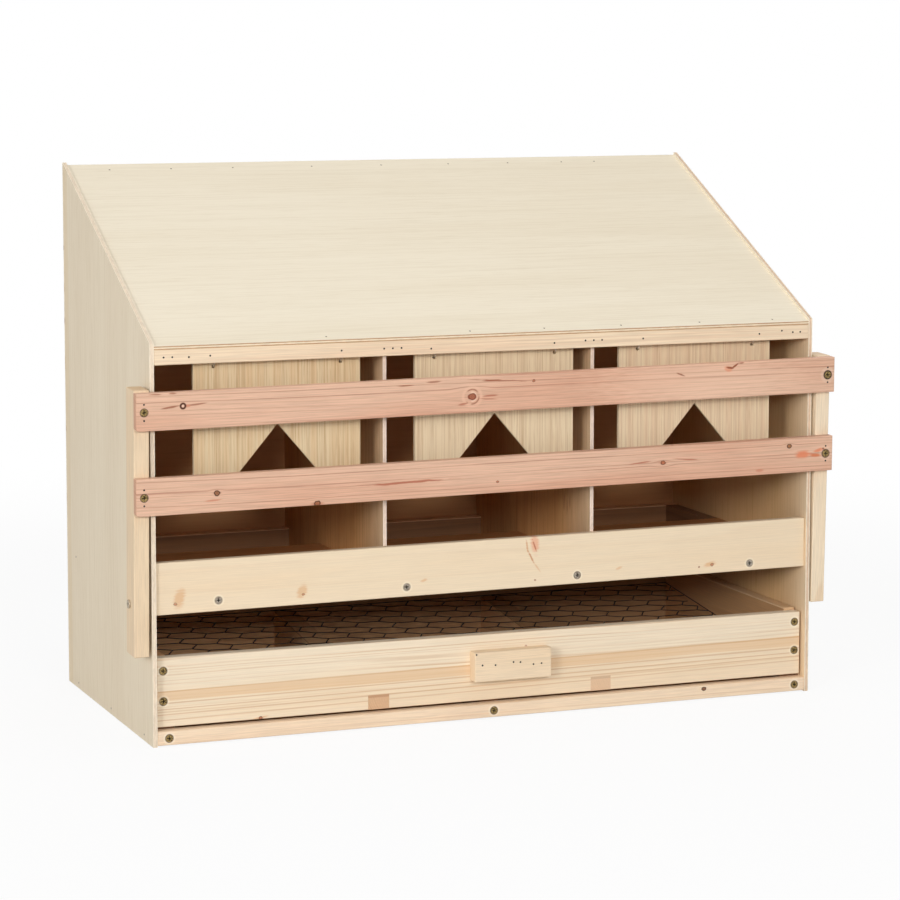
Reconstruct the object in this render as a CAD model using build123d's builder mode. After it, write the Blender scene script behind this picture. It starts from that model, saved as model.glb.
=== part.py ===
from build123d import *
import math
import os

# Chicken nesting box: three nests behind hanging flaps, a perch that folds down and an egg drawer.
# Millimetres. X runs to the right, Y to the back, Z up. The origin is on the ground under the middle
# of the carcass. A depth is counted backwards from the front edges of the side panels.

# Carcass
BODY_WIDTH = 685.0
BODY_DEPTH = 318.0
FRONT_HEIGHT = 378.5
BACK_HEIGHT = 532.0
SIDE_THICKNESS = 4.2
SHEET_THICKNESS = 3.6  # back, base and dividers
ROOF_THICKNESS = 3.0
ROOF_DROP = 2.5  # roof below the sloping edges of the side panels, measured upright
EDGE_EASE = 0.6  # chamfer on the visible timber
PLAY = 0.2  # gap round pieces that are set in place without fasteners

# Rails and battens
RAIL_HEIGHT = 14.2
RAIL_THICKNESS = 12.5
BATTEN = 14.0  # square section of the hidden battens
CLEAT_WIDTH = 20.0
CLEAT_HEIGHT = 22.0
PLINTH_HEIGHT = 13.0
PLINTH_LIFT = 1.2  # plinth rail above the ground
RUNNER_WIDTH = 20.0
RUNNER_HEIGHT = 13.0
BACK_RAIL_HEIGHT = 42.0

# Nests
FLOOR_TOP = 147.0
FLOOR_THICKNESS = 4.0
FLOOR_REACH = 200.0  # depth of the floor's rear edge, with the egg slot behind it
FLOOR_BATTEN_HEIGHT = 17.0
DIVIDER_OFFSET = 108.0
DIVIDER_DROP = 35.0  # dividers reach this far below the floor, behind it
BLOCK_OFFSET = 104.0
BLOCK_WIDTH = 24.0
LIP_RECESS = 3.5
LIP_THICKNESS = 9.0
LIP_HEIGHT = 49.2
LIP_RISE = 28.0  # lip above the floor
LIP_TILT = 0.3  # degrees, right end up

# Perch
PIVOT_DEPTH = 16.0
PERCH_LEAN = 1.75  # degrees forward at rest
ARM_WIDTH = 14.5
ARM_SECTION = 27.0
ARM_GAP = 2.6  # side panel to arm
ARM_FRONT = 16.5  # arm's front face ahead of the pivot
ARM_TOP = 205.2  # above the pivot, along the arm
ARM_TAIL = 45.7  # below the pivot, along the arm
ARM_STAGGER = 2.4  # right arm sits higher and left arm lower by this much
SLAT_HEIGHT = 35.0
SLAT_THICKNESS = 9.0
SLAT_OVERHANG = 0.4  # slat past the outer face of each arm
SLAT_PITCH = 79.4
SLAT_TOP_GAP = 1.3  # arm's top above the upper slat
SLAT_TILT = 0.5  # degrees, right end up
SLAT_PIN_OFFSET = 7.5
SLAT_CORNER = 3.2  # rounding of each slat's lower left corner
PIVOT_RADIUS = 2.4
PIVOT_RUN = 0.3  # gaps of the turning arm round the pivot screw and at its ends
PIVOT_HEAD_RADIUS = 4.2
PIVOT_HEAD_HEIGHT = 1.2
PIVOT_GRIP = 25.0  # pivot screw in the floor batten
SPACER_RADIUS = 6.0

# Flaps
FLAP_WIDTH = 165.0
FLAP_THICKNESS = 4.0
FLAP_DEPTH = 20.0  # depth of the swing axis
FLAP_AXIS_RISE = 0.7  # swing axis above the bottom of the header rail
FLAP_TOP_DROP = 1.0  # flap's top below the swing axis
FLAP_LENGTH = 127.2  # flap's bottom below the swing axis
NOTCH_HEIGHT = 65.0
NOTCH_HALF_ANGLE = 40.6
LEFT_FLAP_CENTRE = -213.2
MIDDLE_FLAP_CENTRE = 7.4
RIGHT_FLAP_CENTRE = 221.6
HOOK_OFFSET = 62.7
RING_RADIUS = 6.0  # wire ring of a hook, round the swing axis
RING_WIRE = 0.8
RING_HOLE = 1.7  # hole in the flap for the ring
HOOK_TIP = 4.0  # depth of the hook's tip in the header rail
HOOK_RISE = 3.5  # hook's straight leg above the swing axis

# Drawer
DRAWER_GAP = 2.0  # each side
DRAWER_LIFT = 0.4  # above the runners
DRAWER_HEIGHT = 65.8
DRAWER_TAPER = 2.4  # front's right end lower than its left
DRAWER_RECESS = 7.5
DRAWER_BOARD = 12.0
DRAWER_REACH = 311.0  # depth of the drawer's rear face
WEDGE_OFFSET = 116.5
WEDGE_WIDTH = 21.5
NET_FRONT_HEIGHT = 14.0  # net above the drawer's bottom edge, at the front
NET_BACK_HEIGHT = 44.0
NET_WIRE = 1.6
NET_MARGIN = 0.5
NET_PITCH = 37.0
NET_TWIST = 15.0  # length of the twisted joints
NET_ZIGZAG = 4.0
NET_SHEAR = 0.32
NET_TURN = -13.5  # degrees, rows of the net come forward at the right
NET_SMALLEST_CELL = 60.0  # area in square millimetres
HANDLE_WIDTH = 80.0
HANDLE_HEIGHT = 29.0
HANDLE_THICKNESS = 14.0
HANDLE_CENTRE = 17.6
HANDLE_LIFT = 21.0  # above the drawer's bottom edge

# Fasteners
SCREW_RADIUS = 1.9
SCREW_HEAD = 3.5
LIP_SCREW_HEAD = 3.3
SCREW_LENGTH = 25.0
SINK_ANGLE = 82.0
CROSS_SHARE = 1.07  # length of the cross as a share of the head's radius
CROSS_WIDTH = 0.9
CROSS_DEPTH = 1.6
LIP_SCREW_LENGTH = 20.0
NAIL_RADIUS = 0.9
NAIL_LENGTH = 20.0
ROOF_NAIL_LENGTH = 10.0
SIDE_NAIL_LENGTH = 16.0
RAIL_PIN_LENGTH = 3.0
SHANK_PLAY = 0.05  # round screws and nails
TIP_PLAY = 0.5  # past the tips of screws and nails

# Fastener places
LIP_SCREW_X = (-277.0, -89.0, 89.0, 277.0)
PLINTH_SCREW_INSET = 11.3  # from the inner face of the side panels
DRAWER_SCREW_HEIGHTS = (24.4, 53.4)  # above the drawer's bottom edge
BLOCK_NAIL_STEPS = (-8.8, 0.0, 8.8)
RAIL_END_NAIL_INSETS = (9.3, 17.6)
RAIL_PINS = (  # X and height from the middle of the header rail
    (-304.8, -0.5), (-284.2, 0.0), (-155.4, -0.2), (-65.1, -1.8),
    (62.4, -1.2), (156.7, -0.3), (283.5, -0.4), (308.5, 1.9),
)
HANDLE_NAILS = (
    (-38.5, 12.7), (-32.3, 1.9), (-18.7, 1.3), (0.1, 2.9), (7.4, 2.3), (21.1, -0.7), (29.6, -0.4),
)
NAIL_SPREAD = (-294.0, -210.0, -126.0, -42.0, 42.0, 126.0, 210.0, 294.0)
FRONT_ROOF_NAILS = (-168.8, -23.4, 53.9, 135.3, 220.1, 300.4)
REAR_ROOF_NAILS = (-296.4, -231.9, -166.1, -80.7, -4.0, 71.2, 138.9, 200.9, 239.2)
ROOF_EDGE_INSET = 6.0
LEDGER_NAIL_DEPTHS = (283.0,)
RUNNER_NAIL_DEPTHS = (32.0, 152.0, 278.0)
RUNNER_NAIL_HEIGHT = 5.8

# Derived positions
front_y = -BODY_DEPTH / 2
inside = BODY_WIDTH / 2 - SIDE_THICKNESS
back_face = BODY_DEPTH - SHEET_THICKNESS
rear_battens = (back_face - BATTEN, back_face)
behind_rail = (RAIL_THICKNESS, RAIL_THICKNESS + BATTEN)
slope = (BACK_HEIGHT - FRONT_HEIGHT) / BODY_DEPTH
pitch = math.atan(slope)
roof_plumb = ROOF_THICKNESS / math.cos(pitch)
full_width = (-inside, inside)
rail_bottom = FRONT_HEIGHT - ROOF_DROP - roof_plumb - RAIL_HEIGHT
rail_middle = rail_bottom + RAIL_HEIGHT / 2
floor_bottom = FLOOR_TOP - FLOOR_THICKNESS
floor_batten = (floor_bottom - FLOOR_BATTEN_HEIGHT, floor_bottom)
floor_batten_middle = floor_bottom - FLOOR_BATTEN_HEIGHT / 2
runner_top = SHEET_THICKNESS + RUNNER_HEIGHT
runner_middle_height = SHEET_THICKNESS + RUNNER_HEIGHT / 2
plinth_middle = PLINTH_LIFT + PLINTH_HEIGHT / 2
pivot_y = front_y + PIVOT_DEPTH
arm_inner = BODY_WIDTH / 2 + ARM_GAP
arm_outer = arm_inner + ARM_WIDTH
arm_middle = arm_inner + ARM_WIDTH / 2
flap_axis = rail_bottom + FLAP_AXIS_RISE
flap_y = front_y + FLAP_DEPTH
drawer_bottom = runner_top + DRAWER_LIFT
drawer_top = drawer_bottom + DRAWER_HEIGHT
drawer_half = inside - DRAWER_GAP
tray_half = drawer_half - DRAWER_BOARD
tray_front = DRAWER_RECESS + DRAWER_BOARD
tray_back = DRAWER_REACH - DRAWER_BOARD
net_front = drawer_bottom + NET_FRONT_HEIGHT
net_back = drawer_bottom + NET_BACK_HEIGHT
net_pitch = math.atan((net_back - net_front) / (tray_back - tray_front))
SIDES = ((-1, "left"), (1, "right"))
SUNK = (Align.CENTER, Align.CENTER, Align.MAX)

os.makedirs("parts", exist_ok=True)


def roof_under(depth):
    """Height of the roof's underside at a depth."""
    return FRONT_HEIGHT + slope * depth - ROOF_DROP - roof_plumb


def facing_front(depth):
    """Upright plane at a depth that faces the front; its own axes are X and Z."""
    return Plane.XZ.offset(-(front_y + depth))


def facing_back(depth):
    """Upright plane at a depth that faces the back; its own axes are minus X and Z."""
    return Plane(origin=(0, front_y + depth, 0), x_dir=(-1, 0, 0), z_dir=(0, 1, 0))


def facing_out(sign, x):
    """Upright plane that faces out of one side; its own axes are Y, turned for the left, and Z."""
    return Plane(origin=(sign * x, 0, 0), x_dir=(0, sign, 0), z_dir=(sign, 0, 0))


def side_points(sign, depths, height):
    """Points on a plane that faces out of one side, at depths and one height."""
    return [(sign * (front_y + depth), height) for depth in depths]


def block(x, depth, z, mode=Mode.ADD):
    """Adds or cuts a block between pairs of limits in the open part."""
    with Locations(((x[0] + x[1]) / 2, front_y + (depth[0] + depth[1]) / 2, (z[0] + z[1]) / 2)):
        Box(abs(x[1] - x[0]), depth[1] - depth[0], z[1] - z[0], mode=mode)


def board(outline, x):
    """Adds a board with an outline of depths and heights between two X limits."""
    with BuildSketch(Plane.YZ.offset(min(x))) as face:
        with BuildLine():
            Polyline(*[(front_y + depth, height) for depth, height in outline], close=True)
        make_face()
    extrude(face.sketch, amount=abs(x[1] - x[0]))


def under_roof(depths, bottom):
    """Outline of a batten between two depths, from a level bottom up to the roof."""
    near, far = depths
    return [(near, bottom), (far, bottom), (far, roof_under(far)), (near, roof_under(near))]


def cross(head):
    """Cuts a driver's cross into a head of a radius, at the open locations."""
    Box(CROSS_SHARE * head, CROSS_WIDTH, CROSS_DEPTH, align=SUNK, mode=Mode.SUBTRACT)
    Box(CROSS_WIDTH, CROSS_SHARE * head, CROSS_DEPTH, align=SUNK, mode=Mode.SUBTRACT)


def screws(plane, points, length, head=SCREW_HEAD):
    """Adds countersunk cross-head screws that run into a plane."""
    head_height = (head - SCREW_RADIUS) / math.tan(math.radians(SINK_ANGLE / 2))
    with Locations(plane):
        with Locations(*points):
            Cone(SCREW_RADIUS, head, head_height, align=SUNK)
            Cylinder(SCREW_RADIUS, length, align=SUNK)
            cross(head)


def screw_holes(plane, points, length, head=SCREW_HEAD):
    """Cuts the countersunk holes of screws that run into a plane."""
    with Locations(plane):
        with Locations(*points):
            CounterSinkHole(
                SCREW_RADIUS + SHANK_PLAY, head + SHANK_PLAY, length + TIP_PLAY, SINK_ANGLE
            )


def nails(plane, points, length):
    """Adds nails that run into a plane and end flush with it."""
    with Locations(plane):
        with Locations(*points):
            Cylinder(NAIL_RADIUS, length, align=SUNK)


def nail_holes(plane, points, length):
    """Cuts the holes of nails that run into a plane."""
    with Locations(plane):
        with Locations(*points):
            Hole(NAIL_RADIUS + SHANK_PLAY, length + TIP_PLAY)


def save(piece, name):
    """Labels a finished piece and writes it."""
    piece.part.label = name
    export_step(piece.part, f"parts/{name}.step")


# Nail places
front_face = facing_front(0)
roof_face = Plane(
    origin=(0, front_y, FRONT_HEIGHT - ROOF_DROP),
    x_dir=(1, 0, 0),
    z_dir=(0, -math.sin(pitch), math.cos(pitch)),
)
back_plane = facing_back(BODY_DEPTH)
rear_batten_bottom = roof_under(rear_battens[0]) - BATTEN
block_nails = [
    (sign * BLOCK_OFFSET + step, rail_middle) for sign, side in SIDES for step in BLOCK_NAIL_STEPS
]
end_nails = [
    (sign * (inside - inset), rail_middle) for sign, side in SIDES for inset in RAIL_END_NAIL_INSETS
]
rail_nail_points = block_nails + end_nails
rail_pin_points = [(x, rail_middle + step) for x, step in RAIL_PINS]
front_roof_nails = [(x, ROOF_EDGE_INSET) for x in FRONT_ROOF_NAILS]
rear_roof_nails = [
    (x, (rear_battens[0] + BATTEN / 2) / math.cos(pitch)) for x in REAR_ROOF_NAILS
]
roof_nail_points = front_roof_nails + rear_roof_nails
back_nail_heights = (
    runner_middle_height, FLOOR_TOP - BACK_RAIL_HEIGHT / 2, rear_batten_bottom + BATTEN / 3
)
back_nail_points = [(x, height) for x in NAIL_SPREAD for height in back_nail_heights]
side_nail_points = {
    sign: side_points(sign, RUNNER_NAIL_DEPTHS, RUNNER_NAIL_HEIGHT)
    + side_points(sign, LEDGER_NAIL_DEPTHS, floor_batten_middle)
    for sign, side in SIDES
}
outer_face = {sign: facing_out(sign, BODY_WIDTH / 2) for sign, side in SIDES}

# Flap and hook places
flap_centres = {
    "left": LEFT_FLAP_CENTRE,
    "middle": MIDDLE_FLAP_CENTRE,
    "right": RIGHT_FLAP_CENTRE,
}
hook_x = [
    centre + step for centre in flap_centres.values() for step in (-HOOK_OFFSET, HOOK_OFFSET)
]

# Screw places
lip_face = facing_front(LIP_RECESS)
lip_screw_points = [(x, floor_batten_middle) for x in LIP_SCREW_X]
plinth_screw_points = [
    (x, plinth_middle)
    for x in (-(inside - PLINTH_SCREW_INSET), 0.0, inside - PLINTH_SCREW_INSET)
]
drawer_face = facing_front(DRAWER_RECESS)
drawer_front_screws = [
    (sign * (drawer_half - DRAWER_BOARD / 2), drawer_bottom + height)
    for sign, side in SIDES
    for height in DRAWER_SCREW_HEIGHTS
]
drawer_back_screws = {
    sign: [
        (sign * (front_y + DRAWER_REACH - DRAWER_BOARD / 2), drawer_bottom + height)
        for height in DRAWER_SCREW_HEIGHTS
    ]
    for sign, side in SIDES
}

# Side panels
for sign, side in SIDES:
    with BuildPart() as side_panel:
        board(
            [(0, 0), (BODY_DEPTH, 0), (BODY_DEPTH, BACK_HEIGHT), (0, FRONT_HEIGHT)],
            (sign * inside, sign * BODY_WIDTH / 2),
        )
        nail_holes(outer_face[sign], side_nail_points[sign], SIDE_NAIL_LENGTH)
        with Locations(outer_face[sign]):
            with Locations((sign * pivot_y, floor_batten_middle)):
                Hole(PIVOT_RADIUS + SHANK_PLAY)
    save(side_panel, f"side_panel_{side}")

# Roof, back and base
with BuildPart() as roof_panel:
    board(
        [
            (0, roof_under(0)),
            (BODY_DEPTH, roof_under(BODY_DEPTH)),
            (BODY_DEPTH, roof_under(BODY_DEPTH) + roof_plumb),
            (0, roof_under(0) + roof_plumb),
        ],
        full_width,
    )
    nail_holes(roof_face, roof_nail_points, ROOF_NAIL_LENGTH)
save(roof_panel, "roof_panel")

with BuildPart() as back_panel:
    board(under_roof((back_face, BODY_DEPTH), 0), full_width)
    nail_holes(back_plane, back_nail_points, SIDE_NAIL_LENGTH)
save(back_panel, "back_panel")

with BuildPart() as base_panel:
    block(full_width, (BATTEN, back_face), (0, SHEET_THICKNESS))
save(base_panel, "base_panel")

# Front rails
with BuildPart() as header_rail:
    board(under_roof((0, RAIL_THICKNESS), rail_bottom), full_width)
    chamfer(header_rail.edges(), EDGE_EASE)
    nail_holes(front_face, rail_nail_points, NAIL_LENGTH)
    nail_holes(front_face, rail_pin_points, RAIL_PIN_LENGTH)
    nail_holes(roof_face, front_roof_nails, ROOF_NAIL_LENGTH)
    with Locations(facing_back(RAIL_THICKNESS)):
        with Locations(*[(-x, flap_axis + HOOK_RISE) for x in hook_x]):
            Hole(RING_WIRE + SHANK_PLAY, RAIL_THICKNESS - HOOK_TIP + TIP_PLAY)
save(header_rail, "header_rail")

with BuildPart() as lip_board:
    lip_length = full_width[1] - full_width[0] - LIP_HEIGHT * math.sin(math.radians(LIP_TILT))
    with BuildSketch(lip_face) as lip_outline:
        with Locations((0, FLOOR_TOP + LIP_RISE - LIP_HEIGHT / 2)):
            Rectangle(lip_length, LIP_HEIGHT, rotation=LIP_TILT)
    extrude(lip_outline.sketch, amount=-LIP_THICKNESS)
    chamfer(lip_board.edges(), EDGE_EASE)
    screw_holes(lip_face, lip_screw_points, LIP_SCREW_LENGTH, LIP_SCREW_HEAD)
save(lip_board, "lip_board")

with BuildPart() as plinth_rail:
    block(full_width, (0, BATTEN), (PLINTH_LIFT, PLINTH_LIFT + PLINTH_HEIGHT))
    chamfer(plinth_rail.edges(), EDGE_EASE)
    screw_holes(front_face, plinth_screw_points, SCREW_LENGTH)
save(plinth_rail, "plinth_rail")

# Battens at the back
with BuildPart() as roof_rear_batten:
    board(under_roof(rear_battens, rear_batten_bottom), full_width)
    nail_holes(roof_face, rear_roof_nails, ROOF_NAIL_LENGTH)
    nail_holes(back_plane, back_nail_points, SIDE_NAIL_LENGTH)
save(roof_rear_batten, "roof_rear_batten")

with BuildPart() as back_rail:
    block(full_width, rear_battens, (FLOOR_TOP - BACK_RAIL_HEIGHT, FLOOR_TOP))
    nail_holes(back_plane, back_nail_points, SIDE_NAIL_LENGTH)
save(back_rail, "back_rail")

with BuildPart() as rear_base_rail:
    block(full_width, rear_battens, (SHEET_THICKNESS, runner_top))
    nail_holes(back_plane, back_nail_points, SIDE_NAIL_LENGTH)
save(rear_base_rail, "rear_base_rail")

# Battens along the sides
for sign, side in SIDES:
    with BuildPart() as roof_cleat:
        near, far = RAIL_THICKNESS, rear_battens[0]
        board(
            [
                (near, roof_under(near) - CLEAT_HEIGHT),
                (far, roof_under(far) - CLEAT_HEIGHT),
                (far, roof_under(far)),
                (near, roof_under(near)),
            ],
            (sign * (inside - CLEAT_WIDTH), sign * inside),
        )
        nail_holes(front_face, end_nails, NAIL_LENGTH)
    save(roof_cleat, f"roof_cleat_{side}")

    with BuildPart() as floor_ledger:
        step = FLOOR_REACH + PLAY
        board(
            [
                (behind_rail[1], floor_batten[0]),
                (rear_battens[0], floor_batten[0]),
                (rear_battens[0], FLOOR_TOP),
                (step, FLOOR_TOP),
                (step, floor_bottom),
                (behind_rail[1], floor_bottom),
            ],
            (sign * (inside - BATTEN), sign * inside),
        )
        nail_holes(outer_face[sign], side_nail_points[sign], SIDE_NAIL_LENGTH)
    save(floor_ledger, f"floor_ledger_{side}")

    with BuildPart() as runner:
        block(
            (sign * (inside - RUNNER_WIDTH), sign * inside),
            (BATTEN, rear_battens[0]),
            (SHEET_THICKNESS, runner_top),
        )
        nail_holes(outer_face[sign], side_nail_points[sign], SIDE_NAIL_LENGTH)
        screw_holes(front_face, plinth_screw_points, SCREW_LENGTH)
    save(runner, f"runner_{side}")

with BuildPart() as runner_middle:
    block(
        (-RUNNER_WIDTH / 2, RUNNER_WIDTH / 2), (BATTEN, rear_battens[0]), (SHEET_THICKNESS, runner_top)
    )
    screw_holes(front_face, plinth_screw_points, SCREW_LENGTH)
save(runner_middle, "runner_middle")

# Nest floor, its front batten and the dividers
with BuildPart() as nest_floor:
    block(full_width, (RAIL_THICKNESS, FLOOR_REACH), (floor_bottom, FLOOR_TOP))
save(nest_floor, "nest_floor")

with BuildPart() as front_batten:
    block(full_width, behind_rail, floor_batten)
    screw_holes(lip_face, lip_screw_points, LIP_SCREW_LENGTH, LIP_SCREW_HEAD)
    for sign, side in SIDES:
        with Locations(facing_out(sign, inside)):
            with Locations((sign * pivot_y, floor_batten_middle)):
                Hole(PIVOT_RADIUS + SHANK_PLAY, PIVOT_GRIP + TIP_PLAY)
save(front_batten, "floor_batten")

for sign, side in SIDES:
    with BuildPart() as divider:
        floor_edge = FLOOR_REACH + PLAY
        batten_edge = rear_battens[0] - PLAY
        block_edge = behind_rail[1] + PLAY
        drop = FLOOR_TOP - DIVIDER_DROP
        board(
            [
                (RAIL_THICKNESS, FLOOR_TOP),
                (floor_edge, FLOOR_TOP),
                (floor_edge, drop),
                (batten_edge, drop),
                (batten_edge, FLOOR_TOP + PLAY),
                (back_face - PLAY, FLOOR_TOP + PLAY),
                (back_face - PLAY, rear_batten_bottom - PLAY),
                (batten_edge, rear_batten_bottom - PLAY),
                (batten_edge, roof_under(batten_edge) - PLAY),
                (block_edge, roof_under(block_edge) - PLAY),
                (block_edge, rail_bottom - PLAY),
                (RAIL_THICKNESS, rail_bottom - PLAY),
            ],
            (
                sign * DIVIDER_OFFSET - SHEET_THICKNESS / 2,
                sign * DIVIDER_OFFSET + SHEET_THICKNESS / 2,
            ),
        )
    save(divider, f"divider_{side}")

    with BuildPart() as divider_block:
        board(
            under_roof(behind_rail, rail_bottom),
            (sign * BLOCK_OFFSET - BLOCK_WIDTH / 2, sign * BLOCK_OFFSET + BLOCK_WIDTH / 2),
        )
        nail_holes(front_face, block_nails, NAIL_LENGTH)
    save(divider_block, f"divider_block_{side}")

# Carcass fasteners
with BuildPart() as lip_screws:
    screws(lip_face, lip_screw_points, LIP_SCREW_LENGTH, LIP_SCREW_HEAD)
save(lip_screws, "lip_screws")

with BuildPart() as plinth_screws:
    screws(front_face, plinth_screw_points, SCREW_LENGTH)
save(plinth_screws, "plinth_screws")

with BuildPart() as rail_nails:
    nails(front_face, rail_nail_points, NAIL_LENGTH)
    nails(front_face, rail_pin_points, RAIL_PIN_LENGTH)
save(rail_nails, "rail_nails")

with BuildPart() as roof_nails:
    nails(roof_face, roof_nail_points, ROOF_NAIL_LENGTH)
save(roof_nails, "roof_nails")

with BuildPart() as back_nails:
    nails(back_plane, back_nail_points, SIDE_NAIL_LENGTH)
save(back_nails, "back_nails")

with BuildPart() as side_nails:
    for sign, side in SIDES:
        nails(outer_face[sign], side_nail_points[sign], SIDE_NAIL_LENGTH)
save(side_nails, "side_nails")

# Perch pivots, fixed to the carcass
with BuildPart() as pivot_screws:
    for sign, side in SIDES:
        head_seat = arm_outer + PIVOT_RUN
        with Locations(facing_out(sign, head_seat + PIVOT_HEAD_HEIGHT)):
            with Locations((sign * pivot_y, floor_batten_middle)):
                Cylinder(PIVOT_HEAD_RADIUS, PIVOT_HEAD_HEIGHT, align=SUNK)
                Cylinder(
                    PIVOT_RADIUS, head_seat + PIVOT_HEAD_HEIGHT - inside + PIVOT_GRIP, align=SUNK
                )
                cross(PIVOT_HEAD_RADIUS)
save(pivot_screws, "pivot_screws")

with BuildPart() as pivot_spacers:
    for sign, side in SIDES:
        with Locations(facing_out(sign, arm_inner - PIVOT_RUN)):
            with Locations((sign * pivot_y, floor_batten_middle)):
                Cylinder(SPACER_RADIUS, ARM_GAP - PIVOT_RUN, align=SUNK)
                Hole(PIVOT_RADIUS + SHANK_PLAY, ARM_GAP)
save(pivot_spacers, "pivot_spacers")

# Perch
lean = math.radians(PERCH_LEAN)
perch_plane = Plane(
    origin=(0, pivot_y, floor_batten_middle),
    x_dir=(1, 0, 0),
    z_dir=(0, -math.cos(lean), -math.sin(lean)),
)
upper_slat_height = ARM_TOP - SLAT_TOP_GAP - SLAT_HEIGHT / 2
slat_heights = {"upper": upper_slat_height, "lower": upper_slat_height - SLAT_PITCH}
slat_faces = {
    name: Plane(
        perch_plane.location
        * Location((0, height, ARM_FRONT + SLAT_THICKNESS), (0, 0, SLAT_TILT))
    )
    for name, height in slat_heights.items()
}
slat_screw_points = [(-arm_middle, 0), (arm_middle, 0)]
slat_pin_points = [
    (sign * arm_middle, step) for sign, side in SIDES for step in (-SLAT_PIN_OFFSET, SLAT_PIN_OFFSET)
]

for sign, side in SIDES:
    with BuildPart() as perch_arm:
        with Locations(perch_plane):
            arm_centre = (ARM_TOP - ARM_TAIL) / 2 + sign * ARM_STAGGER
            with Locations((sign * arm_middle, arm_centre, ARM_FRONT - ARM_SECTION / 2)):
                Box(ARM_WIDTH, ARM_TOP + ARM_TAIL, ARM_SECTION)
        chamfer(perch_arm.edges(), EDGE_EASE)
        with Locations(facing_out(sign, arm_outer)):
            with Locations((sign * pivot_y, floor_batten_middle)):
                Hole(PIVOT_RADIUS + PIVOT_RUN)
        for slat_face in slat_faces.values():
            screw_holes(slat_face, slat_screw_points, SCREW_LENGTH)
            nail_holes(slat_face, slat_pin_points, NAIL_LENGTH)
    save(perch_arm, f"perch_arm_{side}")

for name, slat_face in slat_faces.items():
    with BuildPart() as slat:
        with Locations(slat_face):
            Box(2 * (arm_outer + SLAT_OVERHANG), SLAT_HEIGHT, SLAT_THICKNESS, align=SUNK)
        through = Axis((0, 0, 0), slat_face.z_dir)
        left_corners = slat.edges().filter_by(through).sort_by(Axis.X)[:2]
        fillet(left_corners.sort_by(Axis.Z)[:1], SLAT_CORNER)
        chamfer(slat.faces().filter_by(through).edges(), EDGE_EASE)
        screw_holes(slat_face, slat_screw_points, SCREW_LENGTH)
        nail_holes(slat_face, slat_pin_points, NAIL_LENGTH)
    save(slat, f"{name}_slat")

with BuildPart() as slat_screws:
    for slat_face in slat_faces.values():
        screws(slat_face, slat_screw_points, SCREW_LENGTH)
save(slat_screws, "slat_screws")

with BuildPart() as slat_pins:
    for slat_face in slat_faces.values():
        nails(slat_face, slat_pin_points, NAIL_LENGTH)
save(slat_pins, "slat_pins")

# Flaps, and the ring hooks in the header rail that carry them
flap_top = flap_axis - FLAP_TOP_DROP
flap_bottom = flap_axis - FLAP_LENGTH
notch_top = flap_bottom + NOTCH_HEIGHT
notch_half = NOTCH_HEIGHT * math.tan(math.radians(NOTCH_HALF_ANGLE))

for name, centre in flap_centres.items():
    with BuildPart() as flap:
        with BuildSketch(facing_front(FLAP_DEPTH + FLAP_THICKNESS / 2)):
            with Locations((centre, (flap_top + flap_bottom) / 2)):
                Rectangle(FLAP_WIDTH, flap_top - flap_bottom)
            with BuildLine():
                Polyline(
                    (centre, notch_top),
                    (centre + notch_half, flap_bottom),
                    (centre - notch_half, flap_bottom),
                    close=True,
                )
            make_face(mode=Mode.SUBTRACT)
            ring_height = flap_axis - RING_RADIUS
            with Locations((centre - HOOK_OFFSET, ring_height), (centre + HOOK_OFFSET, ring_height)):
                Circle(RING_HOLE, mode=Mode.SUBTRACT)
        extrude(amount=FLAP_THICKNESS)
    save(flap, f"flap_{name}")

leg_reach = FLAP_DEPTH - math.sqrt(RING_RADIUS**2 - HOOK_RISE**2)
with BuildPart() as flap_hooks:
    with Locations(*[(x, flap_y, flap_axis) for x in hook_x]):
        Torus(RING_RADIUS, RING_WIRE, rotation=(0, 90, 0))
    with Locations(facing_front(HOOK_TIP)):
        with Locations(*[(x, flap_axis + HOOK_RISE) for x in hook_x]):
            Cylinder(RING_WIRE, leg_reach - HOOK_TIP, align=SUNK)
save(flap_hooks, "flap_hooks")

# Drawer boards
with BuildPart() as drawer_front:
    with BuildSketch(drawer_face) as front_outline:
        with BuildLine():
            Polyline(
                (-drawer_half, drawer_bottom),
                (drawer_half, drawer_bottom),
                (drawer_half, drawer_top - DRAWER_TAPER),
                (-drawer_half, drawer_top),
                close=True,
            )
        make_face()
    extrude(front_outline.sketch, amount=DRAWER_RECESS - tray_front)
    chamfer(drawer_front.edges(), EDGE_EASE)
    for sign, side in SIDES:
        block(
            (sign * WEDGE_OFFSET - WEDGE_WIDTH / 2, sign * WEDGE_OFFSET + WEDGE_WIDTH / 2),
            (0, tray_front + EDGE_EASE),
            (0, net_front),
            mode=Mode.SUBTRACT,
        )
    screw_holes(drawer_face, drawer_front_screws, SCREW_LENGTH)
    handle_middle = drawer_bottom + HANDLE_LIFT + HANDLE_HEIGHT / 2
    handle_face = facing_front(DRAWER_RECESS - HANDLE_THICKNESS)
    handle_nail_points = [(HANDLE_CENTRE + x, handle_middle + z) for x, z in HANDLE_NAILS]
    nail_holes(handle_face, handle_nail_points, NAIL_LENGTH)
save(drawer_front, "drawer_front")

with BuildPart() as drawer_back:
    block((-tray_half, tray_half), (tray_back, DRAWER_REACH), (drawer_bottom, drawer_top))
    chamfer(drawer_back.edges(), EDGE_EASE)
    for sign, side in SIDES:
        screw_holes(facing_out(sign, drawer_half), drawer_back_screws[sign], SCREW_LENGTH)
save(drawer_back, "drawer_back")

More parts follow.
